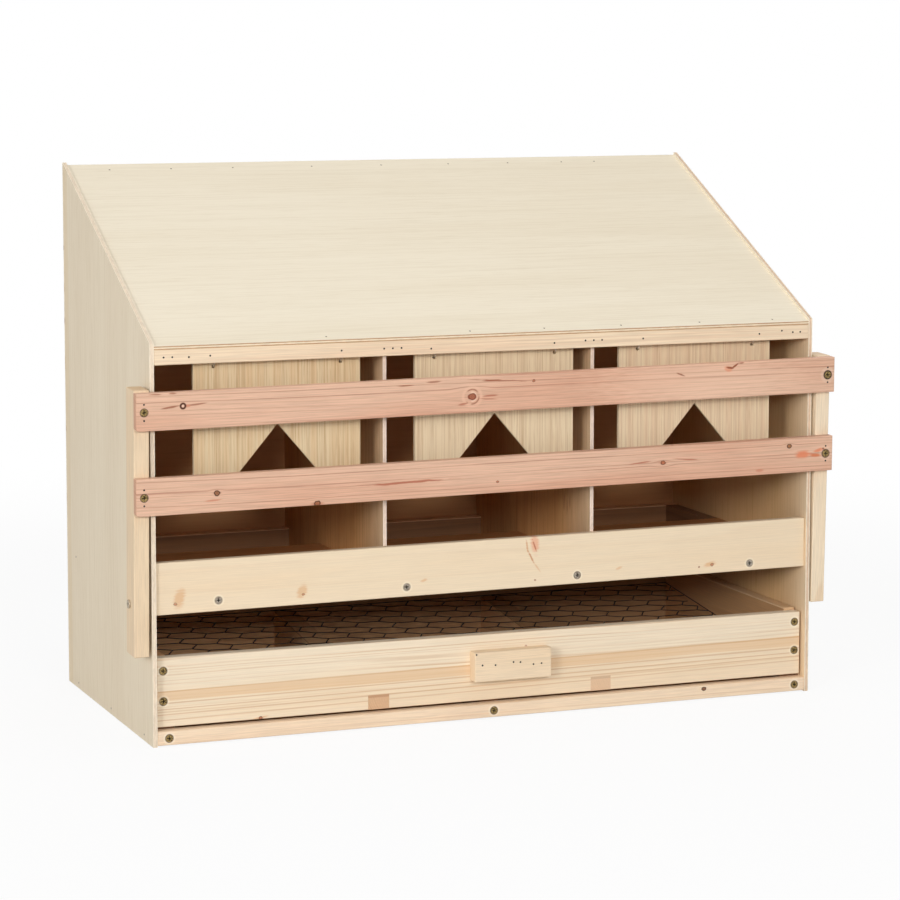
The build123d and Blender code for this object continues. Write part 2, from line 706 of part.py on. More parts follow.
for sign, side in SIDES:
    with BuildPart() as drawer_side:
        block(
            (sign * tray_half, sign * drawer_half), (tray_front, DRAWER_REACH), (drawer_bottom, drawer_top)
        )
        chamfer(drawer_side.edges(), EDGE_EASE)
        screw_holes(drawer_face, drawer_front_screws, SCREW_LENGTH)
        screw_holes(facing_out(sign, drawer_half), drawer_back_screws[sign], SCREW_LENGTH)
    save(drawer_side, f"drawer_side_{side}")

    with BuildPart() as drawer_wedge:
        board(
            [
                (DRAWER_RECESS, drawer_bottom),
                (tray_back, drawer_bottom),
                (tray_back, net_back),
                (tray_front, net_front),
                (DRAWER_RECESS, net_front),
            ],
            (sign * WEDGE_OFFSET - WEDGE_WIDTH / 2, sign * WEDGE_OFFSET + WEDGE_WIDTH / 2),
        )
    save(drawer_wedge, f"drawer_wedge_{side}")

# Wire net of the drawer, laid on the wedges
net_plane = Plane(
    origin=(0, front_y + tray_front, net_front),
    x_dir=(1, 0, 0),
    z_dir=(0, -math.sin(net_pitch), math.cos(net_pitch)),
)
net_length = (tray_back - tray_front) / math.cos(net_pitch) - 2 * NET_MARGIN
net_width = 2 * (tray_half - NET_MARGIN)
row_pitch = NET_TWIST + NET_ZIGZAG
net_turn = math.radians(NET_TURN)
turned_length = net_length * math.cos(net_turn) + net_width * abs(math.sin(net_turn))
turned_width = net_width * math.cos(net_turn) + net_length * abs(math.sin(net_turn))
row_reach = math.ceil(turned_length / 2 / row_pitch) + 1
column_reach = math.ceil((turned_width + NET_SHEAR * turned_length) / 2 / NET_PITCH) + 1
zigzag_rise = NET_ZIGZAG / (NET_PITCH / 2)
cell_half = NET_PITCH / 2 - NET_WIRE / 2
cell_top = NET_TWIST / 2 + NET_ZIGZAG - NET_WIRE / 2
cell_shoulder = cell_top - zigzag_rise * cell_half
cell_corners = (
    (cell_half, -cell_shoulder),
    (cell_half, cell_shoulder),
    (0, cell_top),
    (-cell_half, cell_shoulder),
    (-cell_half, -cell_shoulder),
    (0, -cell_top),
)
cell_outline = [(x + NET_SHEAR * y, y) for x, y in cell_corners]
cell_places = [
    (NET_PITCH * (column + row % 2 / 2) + NET_SHEAR * row_pitch * row, row_pitch * row)
    for row in range(-row_reach, row_reach)
    for column in range(-column_reach, column_reach)
]
net_centre = Location((0, NET_MARGIN + net_length / 2, 0))
with BuildSketch(net_plane) as net_cells:
    with Locations(net_centre * Location((0, 0, 0), (0, 0, NET_TURN))):
        with Locations(*cell_places):
            Polygon(*cell_outline, align=None)
    with Locations(net_centre):
        Rectangle(net_width - 2 * NET_WIRE, net_length - 2 * NET_WIRE, mode=Mode.INTERSECT)
    net_border = Rectangle(net_width, net_length, mode=Mode.PRIVATE).face()
whole_cells = [cell for cell in net_cells.sketch.faces() if cell.area > NET_SMALLEST_CELL]
net_middle = net_plane.location * net_centre

with BuildPart() as drawer_net:
    net_outline = net_border.moved(net_middle).outer_wire()
    extrude(Face(net_outline, [cell.outer_wire() for cell in whole_cells]), amount=NET_WIRE)
save(drawer_net, "drawer_net")

# Drawer handle and fasteners
with BuildPart() as drawer_handle:
    block(
        (HANDLE_CENTRE - HANDLE_WIDTH / 2, HANDLE_CENTRE + HANDLE_WIDTH / 2),
        (DRAWER_RECESS - HANDLE_THICKNESS, DRAWER_RECESS),
        (handle_middle - HANDLE_HEIGHT / 2, handle_middle + HANDLE_HEIGHT / 2),
    )
    chamfer(drawer_handle.edges(), EDGE_EASE)
    nail_holes(handle_face, handle_nail_points, NAIL_LENGTH)
save(drawer_handle, "drawer_handle")

with BuildPart() as handle_nails:
    nails(handle_face, handle_nail_points, NAIL_LENGTH)
save(handle_nails, "handle_nails")

with BuildPart() as drawer_screws:
    screws(drawer_face, drawer_front_screws, SCREW_LENGTH)
    for sign, side in SIDES:
        screws(facing_out(sign, drawer_half), drawer_back_screws[sign], SCREW_LENGTH)
save(drawer_screws, "drawer_screws")
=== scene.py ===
"""Looks of a three-bay chicken nesting box: woods, wire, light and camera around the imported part."""

import logging
import math
from dataclasses import dataclass, field, replace
from enum import Enum

import bmesh
import bpy
from mathutils import Matrix, Vector, noise


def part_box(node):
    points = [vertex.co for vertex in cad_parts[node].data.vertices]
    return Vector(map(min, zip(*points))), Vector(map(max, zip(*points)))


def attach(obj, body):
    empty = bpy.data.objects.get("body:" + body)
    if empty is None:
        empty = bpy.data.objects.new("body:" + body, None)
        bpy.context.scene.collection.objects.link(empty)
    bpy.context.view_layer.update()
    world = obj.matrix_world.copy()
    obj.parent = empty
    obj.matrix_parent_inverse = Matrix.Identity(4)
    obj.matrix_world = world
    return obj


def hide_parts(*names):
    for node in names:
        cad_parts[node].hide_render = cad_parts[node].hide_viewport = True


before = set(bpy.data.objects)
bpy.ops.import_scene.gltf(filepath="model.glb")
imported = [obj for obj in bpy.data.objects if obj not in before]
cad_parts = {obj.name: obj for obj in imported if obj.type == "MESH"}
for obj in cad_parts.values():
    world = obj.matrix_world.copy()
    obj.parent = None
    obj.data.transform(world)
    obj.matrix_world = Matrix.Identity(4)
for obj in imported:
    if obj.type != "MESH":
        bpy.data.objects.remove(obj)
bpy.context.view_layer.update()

LOG = logging.getLogger("nesting_box")

Tint = tuple[float, float, float, float]
Triple = tuple[float, float, float]
Socket = bpy.types.NodeSocket

WHITE: Tint = (1.0, 1.0, 1.0, 1.0)


def paint(red: int, green: int, blue: int) -> Tint:
    """Turns a colour as a screen shows it into the linear values that a shader takes.

    Args:
        red: Red, 0 to 255.
        green: Green, 0 to 255.
        blue: Blue, 0 to 255.

    Returns:
        The linear colour, with full alpha.
    """
    linear = []
    for level in (red / 255, green / 255, blue / 255):
        low = level / 12.92
        high = ((level + 0.055) / 1.055) ** 2.4
        linear.append(low if level <= 0.04045 else high)
    return (linear[0], linear[1], linear[2], 1.0)


class Grain(Enum):
    """How a board lies: the axes along its fibres, across its face, and through its thickness."""

    SIDEWAYS = "xzy"
    UPRIGHT = "zxy"
    UPRIGHT_SIDE = "zyx"
    DEEP = "yzx"
    FLAT = "xyz"


class Stir(Enum):
    """How two colours meet in a mix node."""

    COVER = "MIX"
    STAIN = "MULTIPLY"


class Level:
    """A number in a node tree. Arithmetic with it adds math nodes to the tree."""

    def __init__(self, canvas: "NodeCanvas", socket: Socket) -> None:
        """Keeps a node's output together with its tree."""
        self.canvas = canvas
        self.socket = socket

    def math(self, step: str, *others: "Level | float") -> "Level":
        """Adds a math node that takes this number first."""
        return Level(self.canvas, self.canvas.put("Math", self, *others, operation=step).outputs[0])

    def __add__(self, other: "Level | float") -> "Level":
        """Adds a number."""
        return self.math("ADD", other)

    def __sub__(self, other: "Level | float") -> "Level":
        """Takes a number away."""
        return self.math("SUBTRACT", other)

    def __mul__(self, other: "Level | float") -> "Level":
        """Multiplies by a number."""
        return self.math("MULTIPLY", other)

    def __truediv__(self, other: float) -> "Level":
        """Divides by a plain number."""
        return self.math("DIVIDE", other)

    def __abs__(self) -> "Level":
        """Drops the sign."""
        return self.math("ABSOLUTE")

    def line(self, scale: float, start: "Level | float") -> "Level":
        """Multiplies by a scale, and adds a start."""
        return self.math("MULTIPLY_ADD", scale, start)

    def ease(self, low: float, high: float, bottom: float = 0.0, top: float = 1.0) -> "Level":
        """Eases the number from one range into another.

        Args:
            low: Number that gives the bottom.
            high: Number that gives the top; it may be under low.
            bottom: Result at low.
            top: Result at high.

        Returns:
            The eased number.
        """
        limits = (low, high, bottom, top)
        node = self.canvas.put("MapRange", self, *limits, interpolation_type="SMOOTHSTEP")
        return Level(self.canvas, node.outputs[0])


Value = Level | float
Axes = tuple[Level, Level, Level]


class NodeCanvas:
    """The node tree of a material or world, with a short call for each kind of node."""

    def __init__(self, owner: bpy.types.Material | bpy.types.World) -> None:
        """Turns nodes on, and finds the output and the shader that feeds it.

        Args:
            owner: New material or world.
        """
        owner.use_nodes = True
        self.owner = owner
        self.tree = owner.node_tree
        self.output = next(node for node in self.tree.nodes if node.type.startswith("OUTPUT"))
        self.shader = self.output.inputs["Surface"].links[0].from_node

    def put(self, kind: str, *inputs: object, **settings: object) -> bpy.types.Node:
        """Adds a node.

        Args:
            kind: Blender's name of the node type, without its prefix.
            inputs: What goes into its first inputs.
            settings: Attributes to set on it.

        Returns:
            The new node.
        """
        node = self.tree.nodes.new(f"ShaderNode{kind}")
        for name, value in settings.items():
            setattr(node, name, value)
        for socket, value in zip(node.inputs, inputs):
            self.feed(socket, value)
        return node

    def feed(self, socket: Socket, value: object) -> None:
        """Links a socket to an input, or sets a plain value on it."""
        source = value.socket if isinstance(value, Level) else value
        if isinstance(source, Socket):
            self.tree.links.new(source, socket)
        else:
            socket.default_value = source

    def fill(self, node: bpy.types.Node, values: dict[str, object]) -> None:
        """Feeds inputs of a node by their names."""
        for name, value in values.items():
            self.feed(node.inputs[name], value)

    def join(self, x: Value, y: Value, z: Value = 0.0) -> Socket:
        """Makes a vector of three numbers."""
        return self.put("CombineXYZ", x, y, z).outputs[0]

    def split(self, vector: Socket) -> Axes:
        """Takes a vector apart into its three numbers."""
        x, y, z = (Level(self, part) for part in self.put("SeparateXYZ", vector).outputs)
        return (x, y, z)

    def place(self, kind: str = "Object") -> Socket:
        """Gives a texture coordinate; an object's own coordinates are those of the frame."""
        return self.put("TexCoord").outputs[kind]

    def length(self, x: Value, y: Value) -> Level:
        """Gives the length of a flat vector."""
        node = self.put("VectorMath", self.join(x, y), operation="LENGTH")
        return Level(self, node.outputs["Value"])

    def noise(self, vector: Socket, detail: float = 2.0, rough: float = 0.5) -> Level:
        """Adds smooth noise at the scale of its vector, and returns its level from 0 to 1."""
        node = self.put("TexNoise")
        self.fill(node, {"Vector": vector, "Scale": 1.0, "Detail": detail, "Roughness": rough})
        return Level(self, node.outputs[0])

    def chance(self, number: Level) -> Level:
        """Gives a random level from 0 to 1 that stays the same for the same number."""
        node = self.put("TexWhiteNoise", noise_dimensions="1D")
        self.fill(node, {"W": number})
        return Level(self, node.outputs["Value"])

    def stir(self, share: Value, under: object, over: object, how: Stir = Stir.COVER) -> Socket:
        """Mixes two colours.

        Args:
            share: How much of the second shows.
            under: First colour.
            over: Second colour.
            how: How they meet.

        Returns:
            The mixed colour.
        """
        node = self.put("Mix", data_type="RGBA", blend_type=how.value)
        for slot, value in zip((0, 6, 7), (share, under, over)):
            self.feed(node.inputs[slot], value)
        return node.outputs[2]

    def on_board(self, kind: str, grain: Grain, tilt: float) -> Axes:
        """Gives a place or a normal in a board's own directions.

        Args:
            kind: Name of the texture coordinate.
            grain: How the board lies.
            tilt: Turn about X, in radians, that lays a sloping board flat.

        Returns:
            Its parts along, across and through the board.
        """
        vector = self.place(kind)
        if tilt:
            turned = self.put("Mapping", vector)
            self.fill(turned, {"Rotation": (tilt, 0.0, 0.0)})
            vector = turned.outputs[0]
        parts = dict(zip("xyz", self.split(vector)))
        along, across, through = (parts[letter] for letter in grain.value)
        return (along, across, through)

    def relief(self, height: Level, strength: float, depth: float) -> None:
        """Gives the shader a bump from a height.

        Args:
            height: Height from 0 to 1.
            strength: How much the bump shows.
            depth: Depth in metres that a height of 1 stands for.
        """
        node = self.put("Bump")
        self.fill(node, {"Strength": strength, "Distance": depth, "Height": height})
        self.dress({"Normal": node.outputs[0]})

    def dress(self, values: dict[str, object]) -> None:
        """Feeds inputs of the shader by their names."""
        self.fill(self.shader, values)

    def show(self, share: Level, first: Socket, second: Socket) -> None:
        """Sends a mix of two shaders to the output."""
        self.fill(self.output, {"Surface": self.put("MixShader", share, first, second).outputs[0]})


def new_canvas(name: str) -> NodeCanvas:
    """Starts a material that holds only a principled shader."""
    return NodeCanvas(bpy.data.materials.new(name))


@dataclass(frozen=True)
class BoardFace:
    """A board's face while it is coloured: its tree, the places on it, its middle and thickness."""

    canvas: NodeCanvas
    axes: Axes
    middle: tuple[float, ...]
    thick: float

    @classmethod
    def of(cls, canvas: NodeCanvas, node: str, grain: Grain, tilt: float = 0.0) -> "BoardFace":
        """Measures a CAD board along its own three directions.

        Args:
            canvas: Tree of the board's material.
            node: Name of the CAD node.
            grain: How the board lies.
            tilt: Turn about X, in radians, that lays a sloping board flat.

        Returns:
            The face, with places counted from the board's middle.
        """
        turn = Matrix.Rotation(tilt, 3, "X")
        places = [turn @ v.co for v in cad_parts[node].data.vertices]
        rows = [[p["xyz".index(letter)] for p in places] for letter in grain.value]
        middle = tuple((min(row) + max(row)) / 2 for row in rows)
        parts = canvas.on_board("Object", grain, tilt)
        along, across, through = (part - centre for part, centre in zip(parts, middle))
        return cls(canvas, (along, across, through), middle, max(rows[2]) - min(rows[2]))

    def around(self, along: float, across: float) -> tuple[Level, Level]:
        """Gives places along and across the board, counted from a place in the frame."""
        return (self.axes[0] - (along - self.middle[0]), self.axes[1] - (across - self.middle[1]))

    def noise(
        self, scales: Triple, start: float = 0.0, detail: float = 2.0, rough: float = 0.5
    ) -> Level:
        """Gives smooth noise on the board.

        Args:
            scales: Cycles per metre along, across and through the board.
            start: Offset along the fibres, which picks another part of the pattern.
            detail: How many finer layers there are.
            rough: How strong the finer layers are.

        Returns:
            Its level from 0 to 1.
        """
        along, across, through = self.axes
        vector = self.canvas.join(
            along.line(scales[0], start), across * scales[1], through * scales[2]
        )
        return self.canvas.noise(vector, detail, rough)

    def swing(self, scales: Triple, start: float, most: float) -> Level:
        """Gives noise on the board that swings to both sides of zero."""
        return self.noise(scales, start).line(2 * most, -most)


@dataclass(frozen=True)
class Knot:
    """A knot at its place in the frame, with a dark rim and flares along the fibres.

    `reach` is how many times longer than wide the flares are, and `spread` how far the fibres bow.
    """

    along: float
    across: float
    radius: float
    reach: float = 5.0
    strength: float = 1.0
    spread: float = 3.0
    heart: Tint = paint(176, 104, 70)
    rim: Tint = paint(112, 62, 40)
    flare: Tint = paint(186, 110, 78)

    def bow(self, face: BoardFace) -> BoardFace:
        """Pushes the fibres apart round the knot."""
        along, across = face.around(self.along, self.across)
        wide = self.radius * self.spread
        far = face.canvas.length(along / (wide * 2.2), across / wide)
        bowed = face.axes[1] - across * far.ease(1.0, 0.0, 0.0, 0.9)
        return replace(face, axes=(face.axes[0], bowed, face.axes[2]))

    def lay(self, face: BoardFace, colour: Socket) -> Socket:
        """Colours the flares, the heart and the rim."""
        canvas = face.canvas
        size = self.radius
        along, across = face.around(self.along, self.across)
        flare = canvas.length(along / self.reach, across).ease(size * 0.95, size * 0.15)
        streaky = face.noise((30.0, 900.0, 0.0)).ease(0.3, 0.6) * (self.strength * 0.75)
        colour = canvas.stir(flare * streaky, colour, self.flare)
        uneven = face.noise((0.45 / size, 0.6 / size, 0.0)).line(0.9, 0.55)
        far = canvas.length(along * 0.85, across) * uneven
        rings = (far * (14.0 / size)).math("SINE")
        core = canvas.stir(rings.ease(-0.6, 0.9, 0.0, 0.55), self.heart, self.flare)
        heart = far.ease(size, size * 0.75, 0.0, self.strength * 0.9)
        colour = canvas.stir(heart, colour, core)
        rim = abs(far - size).ease(size * 0.34, size * 0.06, 0.0, self.strength)
        return canvas.stir(rim, colour, self.rim)


@dataclass(frozen=True)
class Streak:
    """A fleck of colour at its place in the frame.

    `reach` and `width` are half its length and half its width, `turn` is in degrees, and `wander` is how
    far its line strays.
    """

    along: float
    across: float
    reach: float
    width: float
    tint: Tint
    depth: float = 0.6
    turn: float = 0.0
    wander: float = 0.0

    def lay(self, face: BoardFace, colour: Socket) -> Socket:
        """Colours the fleck, with a frayed edge."""
        canvas = face.canvas
        along, across = face.around(self.along, self.across)
        cos, sin = math.cos(math.radians(self.turn)), math.sin(math.radians(self.turn))
        run = along.line(cos, across * sin)
        off = across.line(cos, along * -sin)
        if self.wander:
            bends = canvas.noise(canvas.join(run * 55.0, self.along * 90))
            off = off + bends.line(2 * self.wander, -self.wander)
        far = canvas.length(run / self.reach, off / self.width)
        fray = face.swing((70.0, 600.0, 0.0), self.along * 50, 0.5)
        return canvas.stir((far + fray).ease(1.0, 0.4, 0.0, self.depth), colour, self.tint)


@dataclass(frozen=True)
class Band:
    """A stripe that runs the length of a board, at its place in the frame."""

    across: float
    slope: float
    width: float
    tint: Tint
    depth: float = 0.6

    def lay(self, face: BoardFace, colour: Socket) -> Socket:
        """Colours the stripe, with edges that follow the fibres."""
        along, across = face.around(0.0, self.across)
        fray = face.swing((2.5, 260.0, 0.0), self.across * 40, self.width * 0.55)
        far = abs(along.line(-self.slope, across)) + fray
        share = far.ease(self.width, self.width * 0.7, 0.0, self.depth)
        return face.canvas.stir(share, colour, self.tint)


@dataclass(frozen=True)
class Ring:
    """A thin ring round a screw's head or a knot, at its place in the frame, inside a paler halo.

    Round a screw's head the dark ring is partly dark oxidation and partly painted shadow in the gap
    round the head.
    """

    along: float
    across: float
    radius: float = 0.0037
    width: float = 0.0007
    tint: Tint = paint(60, 42, 26)
    depth: float = 0.85
    halo: float = 0.3
    glow: Tint = paint(252, 240, 216)
    broken: bool = False

    def lay(self, face: BoardFace, colour: Socket) -> Socket:
        """Colours the halo and the ring."""
        canvas = face.canvas
        far = canvas.length(*face.around(self.along, self.across))
        past = abs(far - (self.radius + 2 * self.width))
        pale = past.ease(self.width * 2.2, self.width * 0.4, 0.0, self.halo)
        colour = canvas.stir(pale, colour, self.glow)
        share = abs(far - self.radius).ease(self.width, self.width * 0.3, 0.0, self.depth)
        if self.broken:
            share = share * face.noise((110.0, 110.0, 0.0), self.along * 60).ease(0.40, 0.58)
        return canvas.stir(share, colour, self.tint)


Mark = Knot | Streak | Band | Ring


@dataclass(frozen=True)
class SolidWood:
    """Planed softwood: uneven growth rings, long fibres, blushes of colour, and marks.

    `pith` is the middle of the rings, across and through from the board's middle. `crowd` packs the
    rings closer towards the board's low side, `faint` is how dark the palest ring is, and `drift` is how
    many rings the lines stray. The scales are cycles per metre along, across and through the board.
    """

    name: str
    grain: Grain
    pale: Tint
    dark: Tint
    blush: Tint
    rings: float = 240.0
    pith: tuple[float, float] = (0.004, 0.040)
    sway: float = 0.004
    sway_scale: Triple = (1.7, 8.0, 8.0)
    ripple: float = 0.0007
    ripple_scale: Triple = (9.0, 36.0, 36.0)
    sharp: float = 0.55
    lines: float = 0.6
    blushes: float = 0.45
    blush_scale: Triple = (2.3, 21.0, 21.0)
    fibres: float = 0.10
    fibre_scale: Triple = (22.0, 900.0, 900.0)
    patch_scale: Triple = (5.0, 75.0, 75.0)
    faint: float = 0.08
    drift: float = 4.0
    crowd: float = 0.0
    start: float = 0.0
    gloss: float = 0.28
    relief: float = 0.0004
    marks: tuple[Mark, ...] = ()
    end_tint: Tint = paint(214, 180, 142)

    def material(self, node: str) -> bpy.types.Material:
        """Makes this wood for one board.

        Args:
            node: CAD node whose middle the pattern is centred on.

        Returns:
            The new material.
        """
        canvas = new_canvas(f"{self.name}_{node}")
        face = BoardFace.of(canvas, node, self.grain)
        late = self._late(face)
        colour = canvas.stir(late * self.lines, self.pale, self.dark)
        cloud = face.noise(self.blush_scale, self.start + 9.4, 3.0)
        colour = canvas.stir(cloud.ease(0.44, 0.70, 0.0, self.blushes), colour, self.blush)
        fibre = face.noise(self.fibre_scale, self.start, 3.0, 0.65)
        stain = fibre.ease(0.30, 0.70, 1.0 - self.fibres, 1.0 + self.fibres * 0.5)
        colour = canvas.stir(1.0, colour, stain, Stir.STAIN)
        for mark in self.marks:
            colour = mark.lay(face, colour)
        ends = abs(canvas.on_board("Normal", self.grain, 0.0)[0])
        colour = canvas.stir(ends.ease(0.6, 0.8, 0.0, 0.6), colour, self.end_tint)
        rough = fibre.ease(0.3, 0.7, 0.56, 0.74)
        canvas.dress({"Base Color": colour, "Roughness": rough, "Specular IOR Level": self.gloss})
        canvas.relief(late.line(min(0.5, self.lines * 0.6), fibre), 0.30, self.relief)
        return canvas.owner

    def _late(self, face: BoardFace) -> Level:
        """Gives how dark the late wood is at each place, with no two rings alike."""
        bowed = face
        for mark in self.marks:
            if isinstance(mark, Knot):
                bowed = mark.bow(bowed)
        ring = self._rings(bowed)
        turn = ring.math("FRACT")
        weight = face.canvas.chance(ring.math("FLOOR").line(0.731, self.start))
        line = turn.ease(self.sharp, 0.90) * turn.ease(1.0, 0.93)
        patch = face.noise(self.patch_scale, self.start + 3.1)
        shown = patch.ease(0.30, 0.64, max(0.25, self.faint), 1.0)
        return line * (weight.ease(0.05, 1.0, self.faint, 1.0) * shown)

    def _rings(self, face: BoardFace) -> Level:
        """Counts growth rings outwards from the pith, with slow and quick drifts along the board."""
        canvas = face.canvas
        along, across, through = face.axes
        slow = face.swing(self.sway_scale, self.start, self.sway)
        quick = face.swing(self.ripple_scale, self.start, self.ripple)
        drifted = across + (slow + quick)
        ring = canvas.length(drifted - self.pith[0], through - self.pith[1])
        if self.crowd:
            ring = ring + drifted * drifted * self.crowd
        uneven = canvas.noise(canvas.join(along.line(0.7, self.start), ring * 70.0), 2.0, 0.6)
        return ring.line(self.rings, uneven * self.drift)


@dataclass(frozen=True)
class InnerShade:
    """Painted shade on a sheet's inner face, which darkens it between two depths of the frame, deeper
    inside the box.

    `side` is the sign of the face that wears it, along the thickness; 0 means both faces. Where `roof`
    is set, it is the height at the frame's middle and the slope of a plane that the painted shade stays
    under, with a soft edge as wide as `edge`.
    """

    tint: Tint
    side: int = 0
    near: float = -0.150
    far: float = -0.030
    roof: tuple[float, float] | None = None
    edge: float = 0.002

    def lay(self, canvas: NodeCanvas, colour: Socket, through: Level) -> Socket:
        """Paints shade on a colour, darker with depth.

        Args:
            canvas: Tree of the sheet's material.
            colour: The sheet's colour.
            through: How a face looks through the sheet, from -1 to 1.

        Returns:
            The colour with its painted shade.
        """
        _, depth, height = canvas.split(canvas.place())
        share = depth.ease(self.near, self.far)
        if self.roof is not None:
            over = height - depth.line(self.roof[1], self.roof[0])
            share = share * over.ease(0.0, -self.edge)
        if self.side:
            share = share * (through * float(self.side)).ease(0.2, 0.6)
        return canvas.stir(share, colour, canvas.stir(1.0, colour, self.tint, Stir.STAIN))


@dataclass(frozen=True)
class Plywood:
    """Thin rotary-cut plywood: pale faces with fine streaks, and layered edges.

    `bands` and `fine` are how many broad clouds and fine streaks there are to a metre across. The
    scales are cycles per metre along, across and through the sheet.
    """

    name: str
    grain: Grain
    pale: Tint
    streak: Tint
    cloud: Tint
    core: Tint = paint(240, 222, 198)
    rim: Tint = paint(243, 228, 205)
    glue: Tint = paint(224, 198, 170)
    tilt: float = 0.0
    bands: float = 14.0
    fine: float = 420.0
    streaks: float = 0.18
    clouds: float = 0.4
    pores: float = 0.16
    pore_scale: Triple = (34.0, 850.0, 850.0)
    saw_scale: Triple = (160.0, 160.0, 700.0)
    start: float = 0.0
    gloss: float = 0.25
    relief: float = 0.0003
    # Painted shade on the sheet's inner faces, where it has any.
    stain: InnerShade | None = None
    marks: tuple[Mark, ...] = ()

    def material(self, node: str) -> bpy.types.Material:
        """Makes this plywood for one sheet.

        Args:
            node: CAD node whose middle and thickness the pattern follows.

        Returns:
            The new material.
        """
        canvas = new_canvas(f"{self.name}_{node}")
        face = BoardFace.of(canvas, node, self.grain, self.tilt)
        pores = face.noise(self.pore_scale, self.start, 2.0)
        colour = self._face(face, pores)
        through = canvas.on_board("Normal", self.grain, self.tilt)[2]
        # Painted shade on the inner face, darker deeper inside the box.
        if self.stain is not None:
            colour = self.stain.lay(canvas, colour, through)
        for mark in self.marks:
            colour = mark.lay(face, colour)
        colour = canvas.stir(abs(through).ease(0.75, 0.55), colour, self._layers(face))
        rough = pores.ease(0.3, 0.7, 0.60, 0.78)
        canvas.dress({"Base Color": colour, "Roughness": rough, "Specular IOR Level": self.gloss})
        canvas.relief(pores, 0.22, self.relief)
        return canvas.owner

    def _face(self, face: BoardFace, pores: Level) -> Socket:
        """Colours the broad faces with clouds, long streaks and short pores."""
        stir = face.canvas.stir
        cloud = face.noise((1.6, self.bands, self.bands), self.start, 3.0, 0.6)
        colour = stir(cloud.ease(0.36, 0.68, 0.0, self.clouds), self.pale, self.cloud)
        streak = face.noise((6.0, self.fine, self.fine), self.start + 5.3, 4.0, 0.7)
        colour = stir(streak.ease(0.42, 0.72, 0.0, self.streaks), colour, self.streak)
        return stir(pores.ease(0.52, 0.74, 0.0, self.pores), colour, self.streak)

    def _layers(self, face: BoardFace) -> Socket:
        """Colours the sawn edges with two pale plies round a darker core."""
        layers = face.canvas.put("ValToRGB", face.axes[2].line(1.0 / face.thick, 0.5))
        stops = [(0.0, self.rim), (0.24, self.rim), (0.30, self.glue), (0.38, self.core)]
        stops += [(0.62, self.core), (0.70, self.glue), (0.76, self.rim), (1.0, self.rim)]
        elements = layers.color_ramp.elements
        while len(elements) < len(stops):
            elements.new(1.0)
        for element, (place, tint) in zip(elements, stops):
            element.position = place
            element.color = tint
        sawn = face.noise(self.saw_scale, self.start, 3.0, 0.6).ease(0.3, 0.7, 0.86, 1.03)
        return face.canvas.stir(1.0, layers.outputs[0], sawn, Stir.STAIN)


@dataclass(frozen=True)
class Metal:
    """Plated or drawn metal, or painted wire, with a mottled surface.

    Where `level` is set, everything more than `sunk` behind the plane that faces along `face` at that
    distance from the origin is painted dark as shade in the hollows: the crosses of the screws.
    """

    name: str
    bright: Tint
    dull: Tint
    metallic: float = 1.0
    smooth: float = 0.28
    rough: float = 0.48
    scale: float = 420.0
    relief: float = 0.0002
    face: Triple = (0.0, -1.0, 0.0)
    level: float | None = None
    sunk: float = 0.0004
    recess_shade: Tint = paint(30, 22, 14)

    def material(self, node: str) -> bpy.types.Material:
        """Makes this metal.

        Args:
            node: CAD node or piece that wears it, for the material's name.

        Returns:
            The new material.
        """
        canvas = new_canvas(f"{self.name}_{node}")
        spot = canvas.place()
        scaled = canvas.join(*(axis * self.scale for axis in canvas.split(spot)))
        mottle = canvas.noise(scaled, 3.0, 0.6)
        colour = canvas.stir(mottle.ease(0.34, 0.68), self.bright, self.dull)
        # Painted shade in the sunk crosses of the screw heads.
        if self.level is not None:
            reach = canvas.put("VectorMath", spot, self.face, operation="DOT_PRODUCT")
            behind = Level(canvas, reach.outputs["Value"]).line(-1.0, self.level)
            colour = canvas.stir(behind.ease(self.sunk * 0.5, self.sunk), colour, self.recess_shade)
        rough = mottle.ease(0.34, 0.68, self.smooth, self.rough)
        canvas.dress({"Base Color": colour, "Roughness": rough, "Metallic": self.metallic})
        canvas.relief(mottle, 0.12, self.relief)
        return canvas.owner


Finish = SolidWood | Plywood | Metal


def coat(finish: Finish, *nodes: str, **changes: object) -> None:
    """Gives CAD nodes one finish, centred on the first of them.

    Args:
        finish: The finish.
        nodes: Names of the CAD nodes that wear it.
        changes: Fields of the finish that are different here.
    """
    finish = replace(finish, **changes)
    material = finish.material(nodes[0])
    for node in nodes:
        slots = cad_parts[node].data.materials
        slots.clear()
        slots.append(material)
        LOG.info("%s wears %s", node, finish.name)


def put_in_scene(name: str, data: bpy.types.ID) -> bpy.types.Object:
    """Makes an object of some data, and links it to the scene."""
    thing = bpy.data.objects.new(name, data)
    bpy.context.scene.collection.objects.link(thing)
    return thing


RED_BROWN = paint(150, 84, 56)
RESIN = paint(222, 132, 94)
ROSE = paint(204, 132, 104)
TAN = paint(222, 178, 132)
FLARE_RED = paint(176, 100, 74)

CREAM_PINE = SolidWood(
    "cream_pine", Grain.SIDEWAYS, paint(243, 224, 194), paint(208, 166, 122), paint(236, 208, 172)
)
SALMON_PINE = SolidWood(
    "salmon_pine", Grain.SIDEWAYS, paint(224, 183, 156), paint(148, 78, 56), paint(210, 154, 126),
    rings=290.0, pith=(-0.05, 0.03), ripple=0.0005, sharp=0.6, drift=3.4, blushes=0.7, fibres=0.14,
    end_tint=paint(190, 140, 112),
)
BATTEN_PINE = SolidWood(
    "batten_pine", Grain.SIDEWAYS, paint(196, 158, 118), paint(150, 108, 72), paint(178, 136, 96)
)
PANEL_PLY = Plywood(
    "panel_ply", Grain.UPRIGHT_SIDE, paint(243, 232, 210), paint(206, 188, 156), paint(233, 219, 193)
)
FLAP_PINE = Plywood(
    "flap_pine", Grain.UPRIGHT, paint(226, 207, 171), paint(180, 142, 98), paint(222, 190, 146),
    rim=paint(240, 222, 188), core=paint(236, 216, 182), glue=paint(230, 206, 170), bands=150.0,
    fine=620.0, streaks=0.6, clouds=0.6, pores=0.35,
)
